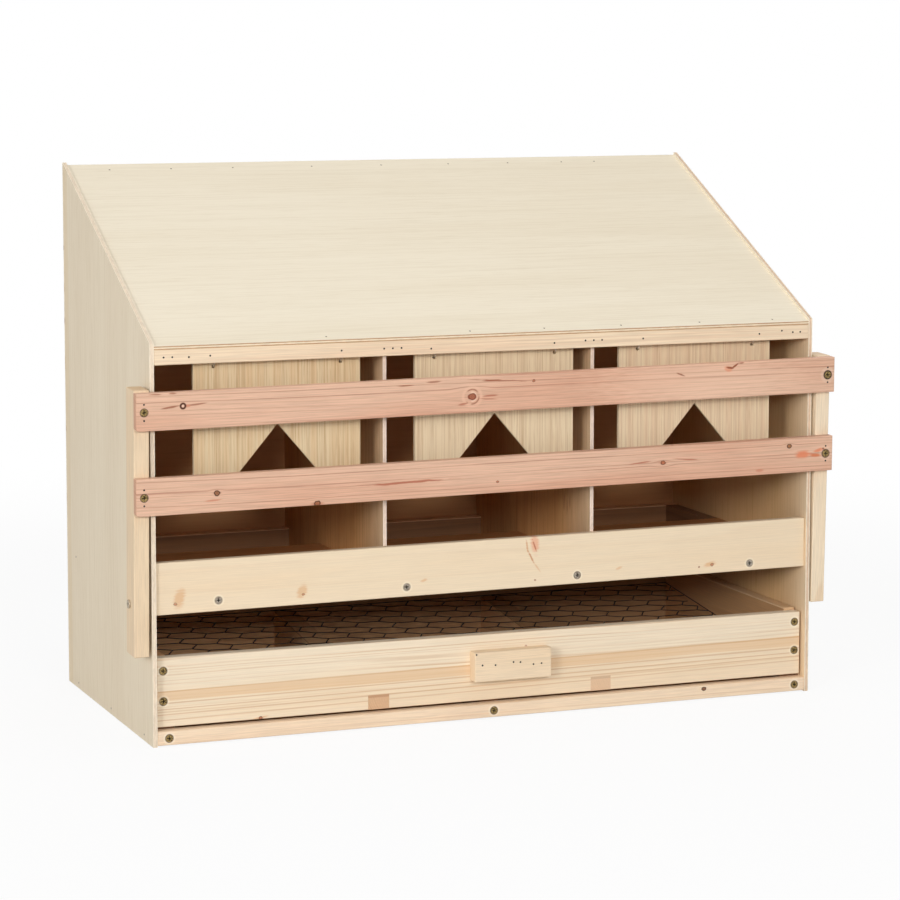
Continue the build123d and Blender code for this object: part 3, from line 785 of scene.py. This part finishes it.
INNER_PLY = Plywood(
    "inner_ply", Grain.UPRIGHT_SIDE, paint(226, 200, 166), paint(168, 130, 92),
    paint(206, 174, 136), rim=paint(246, 228, 212), core=paint(240, 218, 200),
    glue=paint(224, 196, 174), streaks=0.4, pores=0.3,
)
YELLOW_ZINC = Metal(
    "yellow_zinc", paint(180, 154, 102), paint(60, 47, 30), smooth=0.24, rough=0.5, scale=900.0
)
DULL_ZINC = Metal("dull_zinc", paint(206, 192, 170), paint(150, 136, 116), smooth=0.4, rough=0.6)
GREY_ZINC = Metal("grey_zinc", paint(176, 166, 152), paint(122, 110, 96))
NAIL_STEEL = Metal(
    "nail_steel", paint(58, 44, 36), paint(34, 26, 22), metallic=0.2, smooth=0.5, rough=0.7
)
HOOK_WIRE = Metal("hook_wire", paint(226, 224, 220), paint(170, 168, 164), smooth=0.2)
BLACK_WIRE = Metal(
    "black_wire", paint(30, 23, 18), paint(44, 35, 27), metallic=0.0, smooth=0.5, rough=0.7
)


@dataclass
class Carcass:
    """The standing box: panels, roof, rails, dividers, nest floor and hidden battens."""

    roof_pitch: float = math.atan(0.4827)
    roof_sheet: float = 0.0036
    plinth_level: float = 0.159
    lip_level: float = 0.1555
    # Tints of the painted shade on the inside of the box, which grows deeper towards the back.
    back_shade_tint: Tint = paint(228, 178, 136)
    floor_shade_tint: Tint = paint(218, 172, 130)
    wall_shade_tint: Tint = paint(248, 214, 172)
    right_wall_shade_tint: Tint = paint(238, 206, 166)
    base_shade_tint: Tint = paint(208, 166, 126)
    # Painted light: a pale line along the back rail's top edge that lifts the shade on it.
    rail_top_light: Band = Band(0.1470, 0.0, 0.0012, paint(236, 190, 146), 0.9)
    rear_marks: tuple[Mark, ...] = (
        Band(0.1495, 0.0, 0.0090, paint(222, 198, 158), 0.35),
        Streak(0.446, 0.1580, 0.004, 0.0022, paint(150, 112, 70), 0.8),
        Streak(0.405, 0.1582, 0.007, 0.0016, paint(172, 134, 88), 0.7),
        Streak(0.372, 0.1580, 0.005, 0.0024, paint(160, 116, 76), 0.8),
        Streak(0.330, 0.1583, 0.009, 0.0016, paint(186, 148, 102), 0.7),
        Streak(0.262, 0.1580, 0.006, 0.0018, paint(168, 128, 84), 0.7),
        Streak(0.190, 0.1583, 0.010, 0.0014, paint(186, 148, 102), 0.6),
    )
    scrapes: tuple[Mark, ...] = (
        Streak(0.195, -0.0825, 0.012, 0.0013, paint(150, 72, 52), 0.75),
        Streak(0.193, -0.0900, 0.012, 0.0011, paint(150, 72, 52), 0.65),
        Streak(0.197, -0.0970, 0.011, 0.0012, paint(150, 72, 52), 0.6),
    )
    lip_marks: tuple[Mark, ...] = (
        Streak(-0.3150, 0.1385, 0.012, 0.0070, paint(218, 172, 126), 0.7, 78.0),
        Knot(-0.3190, 0.1335, 0.0013, 2.0, 0.6),
        Streak(-0.1946, 0.1375, 0.009, 0.0062, paint(220, 176, 130), 0.7, 60.0),
        Knot(-0.1935, 0.1345, 0.0011, 2.0, 0.6),
        Streak(-0.0713, 0.1400, 0.005, 0.0022, TAN, 0.7, 15.0),
        Streak(0.0440, 0.1690, 0.013, 0.0058, paint(228, 172, 140), 0.85, -84.0),
        Streak(0.0438, 0.1660, 0.008, 0.0011, paint(186, 104, 74), 0.8, -70.0),
        Streak(0.0358, 0.1665, 0.008, 0.0013, paint(214, 164, 122), 0.8, -82.0),
        Streak(0.0400, 0.1555, 0.009, 0.0013, paint(204, 148, 106), 0.85, -63.0),
        Streak(0.0465, 0.1450, 0.007, 0.0014, TAN, 0.6, -54.0),
        Knot(0.0443, 0.1326, 0.0008, 2.0, 0.6),
        Streak(0.1338, 0.1387, 0.005, 0.0018, TAN, 0.6, 20.0),
        Streak(0.2330, 0.1362, 0.009, 0.0032, TAN, 0.8, 12.0),
        Knot(0.2353, 0.1356, 0.0014, 2.5, 0.7),
        Knot(0.2210, 0.1341, 0.0008, 2.0, 0.7),
        # Dark rings round the lip screws: partly dark oxidation, partly painted shadow in the gaps round
        # the heads.
        *(Ring(x, 0.1345, 0.0036, 0.0006, paint(120, 104, 88), 0.6) for x in (-0.277, -0.089, 0.277)),
        Ring(0.089, 0.1345, 0.0036, 0.0006, paint(80, 64, 48), 0.8),
    )
    plinth_marks: tuple[Mark, ...] = (
        Knot(0.2258, 0.0111, 0.0018, 2.5, 1.0, 2.0, paint(74, 48, 28), paint(64, 42, 26)),
        # Dark rings round the plinth screws: partly dark oxidation, partly painted shadow in the gaps
        # round the heads.
        *(Ring(x, 0.0077) for x in (-0.327, 0.0, 0.327)),
    )

    def dress(self) -> None:
        """Gives each carcass node its finish."""
        self._dress_shell()
        self._dress_nests()
        self._dress_front()
        self._dress_battens()
        coat(YELLOW_ZINC, "plinth_screws", level=self.plinth_level)
        coat(GREY_ZINC, "lip_screws", level=self.lip_level)
        coat(DULL_ZINC, "pivot_screws", "pivot_spacers")
        coat(NAIL_STEEL, "rail_nails", "side_nails", "back_nails")
        coat(NAIL_STEEL, "roof_nails", bright=paint(150, 134, 112), dull=paint(110, 96, 78))
        coat(HOOK_WIRE, "flap_hooks")

    def _dress_shell(self) -> None:
        """Finishes the sheets of the outside: pale outside, and darker on their inner faces as painted
        shade.
        """
        _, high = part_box("roof_panel")
        slope = math.tan(self.roof_pitch)
        roof = (high.z - slope * high.y - self.roof_sheet, slope)
        side = replace(PANEL_PLY, streaks=0.3, pores=0.25)
        coat(
            side, "side_panel_left", pale=paint(235, 221, 197), cloud=paint(225, 208, 182),
            stain=InnerShade(self.wall_shade_tint, 1, roof=roof), marks=self.rear_marks,
        )
        coat(
            side, "side_panel_right", core=paint(230, 200, 170), glue=paint(208, 170, 140),
            stain=InnerShade(self.right_wall_shade_tint, -1, near=-0.24, far=-0.08, roof=roof), start=4.0,
        )
        coat(
            PANEL_PLY, "roof_panel", grain=Grain.FLAT, tilt=-self.roof_pitch,
            rim=paint(188, 148, 110), core=paint(243, 226, 198), glue=paint(222, 192, 158),
            stain=InnerShade(self.floor_shade_tint, -1), start=8.0,
        )
        coat(
            PANEL_PLY, "back_panel", grain=Grain.SIDEWAYS, pale=paint(238, 226, 203),
            stain=InnerShade(self.back_shade_tint, -1), start=12.0,
        )

    def _dress_nests(self) -> None:
        """Finishes the dividers, the nest floor and the base, with painted shade that darkens them
        towards the back.
        """
        # Painted shade on the dividers, the nest floor and the base.
        wall = InnerShade(self.wall_shade_tint, near=-0.175, far=-0.060)
        coat(INNER_PLY, "divider_left", start=15.0, stain=wall)
        coat(INNER_PLY, "divider_right", start=18.0, stain=wall, marks=self.scrapes)
        flat = replace(INNER_PLY, grain=Grain.FLAT)
        floor = InnerShade(self.floor_shade_tint, near=-0.150, far=-0.120)
        coat(flat, "nest_floor", start=21.0, stain=floor)
        base = InnerShade(self.base_shade_tint, near=-0.170, far=-0.160)
        coat(flat, "base_panel", start=24.0, stain=base)

    def _dress_front(self) -> None:
        """Finishes the rails and boards of the front."""
        coat(
            CREAM_PINE, "header_rail", pale=paint(238, 215, 185), dark=paint(200, 154, 116),
            blush=paint(226, 190, 158), pith=(0.12, 0.02), lines=0.4, start=2.0,
        )
        lip = replace(CREAM_PINE, pale=paint(237, 217, 187), lines=0.1, fibres=0.05)
        coat(lip, "lip_board", marks=self.lip_marks, start=5.0)
        coat(
            CREAM_PINE, "plinth_rail", pale=paint(243, 219, 190), blush=paint(238, 202, 170),
            pith=(-0.1, 0.03), lines=0.35, marks=self.plinth_marks, start=7.0,
        )

    def _dress_battens(self) -> None:
        """Finishes the battens, runners, cleats, ledgers and blocks."""
        # Painted shade: the back rail, rear base rail, runners and ledgers are darker than the other
        # battens, and the runners' ends darker still.
        shaded_batten = replace(BATTEN_PINE, pale=paint(150, 110, 78), dark=paint(112, 78, 52))
        shaded_batten = replace(shaded_batten, blush=paint(132, 94, 64))
        coat(shaded_batten, "back_rail", pale=paint(156, 108, 70), marks=(self.rail_top_light,), start=2.0)
        coat(shaded_batten, "rear_base_rail", start=1.0)
        coat(BATTEN_PINE, "floor_batten", start=1.0)
        coat(BATTEN_PINE, "roof_rear_batten", start=4.0)
        rests = [f"runner_{side}" for side in ("left", "middle", "right")]
        rests += [f"floor_ledger_{side}" for side in ("left", "right")]
        coat(shaded_batten, *rests, grain=Grain.DEEP, start=6.0, end_tint=paint(104, 68, 44))
        coat(BATTEN_PINE, "roof_cleat_left", "roof_cleat_right", grain=Grain.DEEP, start=8.0)
        blocks = ("divider_block_left", "divider_block_right")
        coat(BATTEN_PINE, *blocks, grain=Grain.UPRIGHT, start=9.0)


@dataclass
class Perch:
    """The folding perch: two arms, two salmon slats, and their screws and pins."""

    lean: float = math.radians(1.75)
    slat_level: float = 0.16433
    # Painted highlight: a pale line along the left arm's left side.
    arm_side_highlight: Band = Band(-0.3611, 0.0, 0.0010, paint(255, 242, 222), 0.95)
    upper_marks: tuple[Mark, ...] = (
        Streak(0.2150, 0.3240, 0.150, 0.0300, paint(240, 202, 174), 0.35),
        Streak(-0.3270, 0.3210, 0.012, 0.0013, RED_BROWN, 0.8, 8.0),
        Streak(-0.3020, 0.3228, 0.013, 0.0012, RED_BROWN, 0.7, 6.0),
        Streak(-0.3110, 0.3217, 0.004, 0.0018, ROSE, 0.8),
        Ring(-0.3153, 0.3217, 0.0023, 0.0014, paint(84, 44, 28), 1.0, 0.0),
        Streak(-0.3153, 0.3217, 0.0013, 0.0012, paint(238, 208, 184), 1.0),
        Ring(-0.0291, 0.3178, 0.0070, 0.0011, paint(156, 92, 66), 0.75, 0.4, paint(234, 190, 162), True),
        Ring(-0.0291, 0.3178, 0.0042, 0.0012, paint(242, 210, 184), 0.7, 0.0, broken=True),
        Knot(-0.0291, 0.3178, 0.0029, 3.0, 1.0, 5.0, paint(142, 76, 52), paint(134, 72, 50)),
        Streak(-0.0100, 0.3180, 0.010, 0.0012, FLARE_RED, 0.8, 2.0),
        Streak(-0.0120, 0.3150, 0.012, 0.0009, FLARE_RED, 0.6, -4.0),
        Streak(-0.0385, 0.3110, 0.006, 0.0014, FLARE_RED, 0.7, 10.0),
        Streak(-0.0965, 0.3313, 0.010, 0.0009, RED_BROWN, 0.8, 1.0),
        Streak(-0.0686, 0.3336, 0.009, 0.0014, RED_BROWN, 0.7, 1.5),
        Streak(-0.0030, 0.3326, 0.038, 0.0006, RED_BROWN, 0.85, -3.0, 0.0012),
        Streak(-0.0083, 0.3327, 0.013, 0.0011, RED_BROWN, 0.85, -1.0),
        Knot(0.0344, 0.3305, 0.0011, 3.0, 0.9, 2.0),
        Streak(0.1905, 0.3300, 0.006, 0.0011, RED_BROWN, 0.8, -20.0),
        Streak(0.2415, 0.3335, 0.006, 0.0036, RESIN, 0.55, -12.0),
        Streak(0.2433, 0.3346, 0.005, 0.0013, RED_BROWN, 1.0, -8.0),
        Streak(0.2495, 0.3364, 0.006, 0.0013, RED_BROWN, 1.0, 34.0),
        Streak(0.2560, 0.3388, 0.004, 0.0010, RED_BROWN, 0.8, 4.0),
        Streak(-0.3420, 0.3335, 0.008, 0.0008, RED_BROWN, 0.7),
        Streak(-0.3250, 0.3338, 0.005, 0.0010, RED_BROWN, 0.7),
        # Dark rings round the slat screws: partly dark oxidation, partly painted shadow in the gaps
        # round the heads.
        Ring(-0.3523, 0.3170, halo=0.0),
        Ring(0.3523, 0.3231, 0.0039, 0.0012, paint(34, 22, 14), 1.0, 0.15),
    )
    lower_marks: tuple[Mark, ...] = (
        Knot(-0.2826, 0.2386, 0.0022, 3.0, 1.0, 2.6, paint(118, 80, 48), paint(80, 48, 28)),
        Streak(-0.2865, 0.2320, 0.011, 0.0012, ROSE, 0.8, 4.0),
        Knot(-0.1842, 0.2231, 0.0024, 4.0, 1.0, 3.0, paint(140, 86, 52), paint(86, 50, 30)),
        Streak(-0.0950, 0.2385, 0.054, 0.0017, FLARE_RED, 0.85, 1.2, 0.0015),
        Streak(0.1483, 0.2446, 0.016, 0.0009, FLARE_RED, 0.8, 5.0),
        Streak(0.1990, 0.2455, 0.018, 0.0009, FLARE_RED, 0.8, -5.0),
        Knot(0.1732, 0.2435, 0.0018, 4.0, 1.0, 4.5),
        Knot(-0.0018, 0.2341, 0.0010, 3.0, 0.9, 2.4),
        Knot(0.3115, 0.2530, 0.0020, 2.5, 1.0, 2.6, paint(140, 100, 60), paint(86, 56, 36)),
        Streak(0.3265, 0.2440, 0.011, 0.0050, RESIN, 0.9, 2.0),
        Streak(0.3400, 0.2425, 0.009, 0.0022, paint(206, 118, 76), 0.9, -4.0),
        Streak(0.3450, 0.2475, 0.008, 0.0022, RESIN, 0.85, 10.0),
        Streak(0.3495, 0.2489, 0.0016, 0.0014, RED_BROWN, 1.0),
        Streak(0.2790, 0.2300, 0.006, 0.0020, ROSE, 0.7),
        # Dark rings round the slat screws: partly dark oxidation, partly painted shadow in the gaps
        # round the heads.
        Ring(-0.3523, 0.2376, halo=0.0),
        Ring(0.3523, 0.2437, 0.0039, 0.0010, halo=0.1),
    )

    def dress(self) -> None:
        """Gives each perch node its finish."""
        arm = replace(CREAM_PINE, name="arm_pine", grain=Grain.UPRIGHT, lines=0.3)
        left = replace(arm, pale=paint(231, 207, 174), blush=paint(232, 204, 174))
        coat(left, "perch_arm_left", marks=(self.arm_side_highlight,), start=1.0)
        coat(arm, "perch_arm_right", pale=paint(242, 222, 193), start=3.0)
        coat(SALMON_PINE, "upper_slat", marks=self.upper_marks, start=1.7)
        lower = replace(SALMON_PINE, pith=(-0.07, 0.02), rings=330.0)
        coat(lower, "lower_slat", marks=self.lower_marks, start=6.0)
        front = (0.0, -math.cos(self.lean), -math.sin(self.lean))
        coat(YELLOW_ZINC, "slat_screws", face=front, level=self.slat_level)
        coat(NAIL_STEEL, "slat_pins")


@dataclass
class NestFlaps:
    """The three notched flaps that swing on wire rings; the left one is the yellowest."""

    sides: tuple[str, ...] = ("left", "middle", "right")
    tints: tuple[tuple[Tint, Tint, Tint], ...] = (
        (FLAP_PINE.pale, FLAP_PINE.streak, FLAP_PINE.cloud),
        (paint(233, 215, 182), paint(190, 156, 118), paint(224, 200, 166)),
        (paint(233, 213, 180), paint(190, 150, 116), paint(228, 198, 164)),
    )
    starts: tuple[float, ...] = (1.0, 5.0, 9.0)

    def dress(self) -> None:
        """Gives each flap its finish."""
        for side, (pale, streak, cloud), start in zip(self.sides, self.tints, self.starts):
            coat(FLAP_PINE, f"flap_{side}", pale=pale, streak=streak, cloud=cloud, start=start)


@dataclass
class EggDrawer:
    """The roll-away egg drawer: front, sides, back, handle, wedges and fasteners.

    `net_rise` is the slope of the net, which the tops of the wedges follow.
    """

    level: float = 0.1515
    net_rise: float = 0.1073
    edge: float = 0.0012
    back_shade: Streak = Streak(0.34, 0.04, 0.60, 0.30, paint(150, 112, 78), 0.62)
    marks: tuple[Mark, ...] = (
        Band(0.0480, 0.0062, 0.0056, paint(224, 182, 134), 0.55),
        Band(0.0525, 0.0062, 0.0008, paint(204, 156, 108), 0.45),
        Band(0.0415, 0.0062, 0.0008, paint(200, 152, 106), 0.5),
        Band(0.0362, 0.0080, 0.0006, paint(200, 152, 106), 0.5),
        Band(0.0318, 0.0100, 0.0007, paint(200, 152, 106), 0.45),
        Band(0.0270, 0.0110, 0.0006, paint(204, 158, 112), 0.45),
        Streak(-0.2352, 0.0185, 0.010, 0.0012, TAN, 0.7, 8.0),
        Knot(-0.2352, 0.0180, 0.0014, 3.0, 0.9),
        Knot(0.0364, 0.0672, 0.0010, 2.0, 0.5),
        # Dark rings round the drawer screws: partly dark oxidation, partly painted shadow in the gaps
        # round the heads.
        *(Ring(x, z) for x in (-0.3303, 0.3303) for z in (0.0414, 0.0704)),
    )

    def dress(self) -> None:
        """Gives each drawer node its finish."""
        coat(
            CREAM_PINE, "drawer_front", pale=paint(240, 223, 197), lines=0.68, fibres=0.06,
            rings=270.0, crowd=-2.2, pith=(0.13, 0.03), sway=0.003, start=11.0, marks=self.marks,
        )
        self._dress_sides()
        handle = replace(CREAM_PINE, pale=paint(238, 215, 184), end_tint=paint(238, 214, 182))
        coat(handle, "drawer_handle", lines=0.4, start=9.0)
        self._dress_wedges()
        coat(YELLOW_ZINC, "drawer_screws", level=self.level)
        coat(NAIL_STEEL, "handle_nails")

    def _dress_sides(self) -> None:
        """Finishes the sides and the back, darker as painted shade, with more painted shade to the right
        of the back; the right side is darker still, with a painted highlight along its top edge.
        """
        _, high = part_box("drawer_side_right")
        # Painted highlight along the right side's top edge.
        top_edge_highlight = Band(high.z, 0.0, self.edge, paint(228, 194, 152), 0.85)
        # Painted shade: the sides and back are a darker pine than the front.
        side = replace(CREAM_PINE, grain=Grain.DEEP, pale=paint(220, 175, 128))
        side = replace(side, dark=paint(174, 126, 84), blush=paint(214, 164, 116))
        coat(side, "drawer_side_left", start=3.0)
        # The right side's pale is darker again, as painted shade.
        coat(side, "drawer_side_right", pale=paint(202, 156, 110), marks=(top_edge_highlight,), start=5.0)
        coat(side, "drawer_back", grain=Grain.SIDEWAYS, marks=(self.back_shade,), start=7.0)

    def _dress_wedges(self) -> None:
        """Finishes the wedges under the net: the left wedge paler, as painted light on its shaded side,
        and the tops darker as painted shade, the right one darker still.
        """
        _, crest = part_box("drawer_wedge_left")
        heel = crest.z - self.net_rise * crest.y
        # Painted shade: a darker band along the tops of the wedges.
        top = Band(heel, self.net_rise, 0.0016, paint(206, 164, 120), 1.0)
        wedge = replace(BATTEN_PINE, grain=Grain.DEEP, rings=420.0, pale=TAN)
        wedge = replace(wedge, dark=paint(196, 148, 104), blush=paint(210, 164, 118))
        # Painted light: the left wedge is paler, which lifts the shade on its side.
        coat(
            wedge, "drawer_wedge_left", pale=paint(250, 214, 168), blush=paint(242, 202, 156),
            marks=(top,), end_tint=paint(188, 144, 116),
        )
        # The right wedge's top is darker again, as painted shade.
        top = replace(top, tint=paint(178, 138, 98))
        coat(wedge, "drawer_wedge_right", marks=(top,), start=3.0, end_tint=paint(228, 200, 172))


@dataclass
class WireNet:
    """Black twisted netting that lies on the drawer's wedges, in sheared six-sided cells.

    The rows are turned on the sheet, so that they come forward towards the right.
    """

    pitch: float = 0.037
    row: float = 0.019
    lean: float = 0.32
    twist: float = 0.015
    turn: float = math.radians(-13.5)
    turns: float = 1.5
    twist_steps: int = 10
    cross_steps: int = 3
    wire: float = 0.00046
    border: float = 0.0006
    wobble: float = 0.0026
    wave: float = 17.0
    fret: float = 0.0008
    fret_wave: float = 60.0
    sag: float = 0.0008
    sag_wave: float = 9.0
    seed: int = 5
    node: str = "drawer_net"
    place: Matrix = field(default_factory=Matrix)
    half: float = 0.0
    deep: float = 0.0

    def __post_init__(self) -> None:
        """Takes the net's place, size and slope from the CAD sheet that it stands for."""
        low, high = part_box(self.node)
        rise = (high.z - low.z) - 2 * self.border
        run = high.y - low.y
        slope = math.atan2(rise, run)
        self.half = (high.x - low.x) / 2 - 2 * self.border
        self.deep = math.hypot(rise, run) - 3 * self.border
        start = Vector(((high.x + low.x) / 2, low.y + self.border, low.z + self.border))
        self.place = Matrix.Translation(start) @ Matrix.Rotation(slope, 4, "X")

    def build(self) -> bpy.types.Object:
        """Makes the netting as one mesh and puts it in place of the CAD sheet.

        Returns:
            The netting.
        """
        noise.seed_set(self.seed)
        curve = bpy.data.curves.new("net_wire", "CURVE")
        curve.dimensions = "3D"
        curve.bevel_depth = self.wire
        curve.bevel_resolution = 1
        curve.use_fill_caps = True
        for line in self._strands():
            self._add_line(curve, line)
        self._add_line(curve, self._rim(), closed=True)
        tube = put_in_scene("net_wire", curve)
        bpy.context.view_layer.update()
        shown = tube.evaluated_get(bpy.context.evaluated_depsgraph_get())
        mesh = bpy.data.meshes.new_from_object(shown)
        bpy.data.objects.remove(tube)
        mesh.transform(self.place)
        mesh.materials.clear()
        mesh.materials.append(BLACK_WIRE.material("egg_net"))
        net = put_in_scene("egg_net", mesh)
        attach(net, "drawer")
        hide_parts(self.node)
        LOG.info("egg_net has %d faces", len(mesh.polygons))
        return net

    def _add_line(self, curve: bpy.types.Curve, points: list[Vector], closed: bool = False) -> None:
        """Adds one run of wire to the curve."""
        line = curve.splines.new("POLY")
        line.points.add(len(points) - 1)
        for spot, point in zip(line.points, points):
            spot.co = (point.x, point.y, point.z, 1.0)
        line.use_cyclic_u = closed

    def _strands(self) -> list[list[Vector]]:
        """Works out every run of wire that lies inside the border, in the net's own plane."""
        reach = math.hypot(self.half, self.deep / 2)
        rows = int((self.deep / 2 + reach * abs(math.sin(self.turn))) / self.row) + 1
        columns = int((reach + self.lean * self.row * rows) / self.pitch) + 1
        runs = []
        for column in range(-columns, columns + 1):
            for side in (-1, 1):
                runs.extend(self._inside(self._strand(column, side, rows)))
        return runs

    def _strand(self, column: int, side: int, rows: int) -> list[Vector]:
        """Follows the left or right strand of a column's twists up the net, through all its rows."""
        flat: list[Vector] = []
        for row in range(-rows, rows + 1):
            odd = row % 2
            centre = self.pitch * (column + odd * side * 0.5)
            hand = side if not odd else -side
            level = self.row * row
            twist = [self._twisted(centre, hand, level, step) for step in range(self.twist_steps + 1)]
            if flat:
                for step in range(1, self.cross_steps):
                    flat.append(flat[-1].lerp(twist[0], 1 / (self.cross_steps + 1 - step)))
            flat.extend(twist)
        return [self._bent(self._turned(p)) for p in flat]

    def _twisted(self, centre: float, hand: int, level: float, step: int) -> Vector:
        """Gives one point of a strand inside a twist."""
        share = step / self.twist_steps
        turn = 2 * math.pi * self.turns * share
        y = level + self.twist * (share - 0.5)
        x = centre + hand * self.wire * math.cos(turn) + self.lean * y
        return Vector((x, y, hand * self.wire * math.sin(turn)))

    def _turned(self, point: Vector) -> Vector:
        """Turns a point about the sheet's middle and counts it from the sheet's front edge."""
        cos, sin = math.cos(self.turn), math.sin(self.turn)
        x = point.x * cos - point.y * sin
        y = point.x * sin + point.y * cos
        return Vector((x, y + self.deep / 2, point.z))

    def _bent(self, point: Vector) -> Vector:
        """Moves a point a little, as hand-pulled netting is never quite even."""
        slow = noise.noise_vector(Vector((point.x * self.wave, point.y * self.wave, 2.5)))
        quick = noise.noise_vector(Vector((point.x * self.fret_wave, point.y * self.fret_wave, 5.5)))
        dip = noise.noise(Vector((point.x * self.sag_wave, point.y * self.sag_wave, 7.5))) - 0.4
        shove = slow * self.wobble + quick * self.fret
        return Vector((point.x + shove.x, point.y + shove.y, point.z + dip * self.sag))

    def _inside(self, points: list[Vector]) -> list[list[Vector]]:
        """Cuts a wire into the runs that lie inside the border."""
        runs: list[list[Vector]] = [[]]
        for point in points:
            if abs(point.x) <= self.half and 0.0 <= point.y <= self.deep:
                runs[-1].append(point)
            elif runs[-1]:
                runs.append([])
        return [run for run in runs if len(run) > 2]

    def _rim(self) -> list[Vector]:
        """Gives the four corners of the border wire."""
        corners = ((-1, 0.0), (1, 0.0), (1, self.deep), (-1, self.deep))
        return [Vector((side * self.half, y, 0.0)) for side, y in corners]


@dataclass(frozen=True)
class Lamp:
    """A square softbox: its place, the length of its side in metres, and its power in watts."""

    name: str
    place: Triple
    size: float
    power: float

    def hang(self, target: Vector) -> None:
        """Hangs the lamp so that it faces a target."""
        light = bpy.data.lights.new(self.name, "AREA")
        light.shape = "SQUARE"
        light.size = self.size
        light.energy = self.power
        body = put_in_scene(self.name, light)
        body.location = self.place
        aim = target - Vector(self.place)
        body.rotation_euler = aim.to_track_quat("-Z", "Y").to_euler()


@dataclass
class Studio:
    """White floor and surroundings, soft lamps, and the camera of the photograph."""

    place: Vector = field(default_factory=lambda: Vector((-1.10427, -2.88821, 0.67218)))
    azimuth: float = math.radians(-21.195)
    elevation: float = math.radians(6.054)
    lens: float = 123.352
    sensor: float = 36.0
    shift: float = -1 / 9
    floor_half: float = 6.0
    floor_drop: float = 0.0004
    floor_grey: float = 0.68
    floor_white: float = 0.97
    floor_rough: float = 0.9
    fill_low: float = 0.27
    fill_high: float = 0.35
    fill_range: tuple[float, float] = (-0.1, 0.9)
    shadow_share: float = 0.12
    shadow_near: float = 0.7
    shadow_far: float = 1.7
    target: Vector = field(default_factory=lambda: Vector((0.0, 0.0, 0.25)))
    lamps: tuple[Lamp, ...] = (
        Lamp("key_softbox", (-0.4, -3.1, 1.06), 0.4, 32.0),
        Lamp("left_softbox", (-4.2, -3.7, 1.6), 1.3, 104.0),
        Lamp("side_fill", (-2.8, -0.6, 0.6), 1.8, 14.0),
        Lamp("top_softbox", (0.4, -0.3, 2.9), 2.2, 20.5),
        Lamp("back_fill", (1.4, 3.4, 1.3), 2.0, 24.0),
    )

    def build(self) -> None:
        """Makes the floor, world, lamps and camera."""
        bpy.context.scene.view_settings.view_transform = "Standard"
        self._floor()
        self._world()
        for lamp in self.lamps:
            lamp.hang(self.target)
        self._camera()

    def _floor(self) -> None:
        """Lays a plain floor that is white to the camera and keeps a soft shadow by the object."""
        mesh = bpy.data.meshes.new("studio_floor")
        shape = bmesh.new()
        bmesh.ops.create_grid(shape, x_segments=1, y_segments=1, size=self.floor_half)
        bmesh.ops.translate(shape, verts=shape.verts, vec=(0.0, 0.0, -self.floor_drop))
        shape.to_mesh(mesh)
        shape.free()
        floor = put_in_scene("studio_floor", mesh)
        canvas = new_canvas("floor_white")
        seen = self._seen(canvas)
        level = seen.line(self.floor_white - self.floor_grey, self.floor_grey)
        grey = canvas.join(level, level, level)
        canvas.dress({"Base Color": grey, "Roughness": self.floor_rough, "Specular IOR Level": 0.0})
        x, y, _ = canvas.split(canvas.place())
        shadow = 1.0 - self.shadow_share
        lit = canvas.length(x, y).ease(self.shadow_near, self.shadow_far, shadow, 1.0)
        glow = canvas.put("Emission", WHITE, 1.0)
        canvas.show(seen * lit, canvas.shader.outputs[0], glow.outputs[0])
        mesh.materials.append(canvas.owner)

    def _seen(self, canvas: NodeCanvas) -> Level:
        """Gives 1 for rays from the camera, off metal or through glass, and 0 for the rest."""
        path = canvas.put("LightPath")
        total = Level(canvas, path.outputs["Is Camera Ray"])
        for name in ("Is Glossy Ray", "Is Transmission Ray"):
            total = total.math("MAXIMUM", Level(canvas, path.outputs[name]))
        return total

    def _world(self) -> None:
        """Surrounds the object with white that lights it softly, more from above."""
        world = bpy.data.worlds.new("studio_white")
        bpy.context.scene.world = world
        canvas = NodeCanvas(world)
        _, _, height = canvas.split(canvas.place("Generated"))
        level = canvas.put("MapRange", height, *self.fill_range, self.fill_low, self.fill_high)
        canvas.dress({"Color": WHITE, "Strength": level.outputs[0]})
        white = canvas.put("Background", WHITE, 1.0)
        canvas.show(self._seen(canvas), canvas.shader.outputs[0], white.outputs[0])

    def _camera(self) -> None:
        """Sets the camera where the photograph was taken from."""
        data = bpy.data.cameras.new("photo_camera")
        data.lens = self.lens
        data.sensor_width = self.sensor
        data.shift_y = self.shift
        camera = put_in_scene("photo_camera", data)
        camera.location = self.place
        camera.rotation_euler = (math.pi / 2 - self.elevation, 0.0, self.azimuth)
        bpy.context.scene.camera = camera


def main() -> None:
    """Dresses each sub-assembly, builds the netting and sets up the studio."""
    logging.basicConfig(level=logging.INFO, format="%(message)s")
    for assembly in (Carcass(), Perch(), NestFlaps(), EggDrawer()):
        assembly.dress()
    WireNet().build()
    Studio().build()


if __name__ == "__main__":
    main()
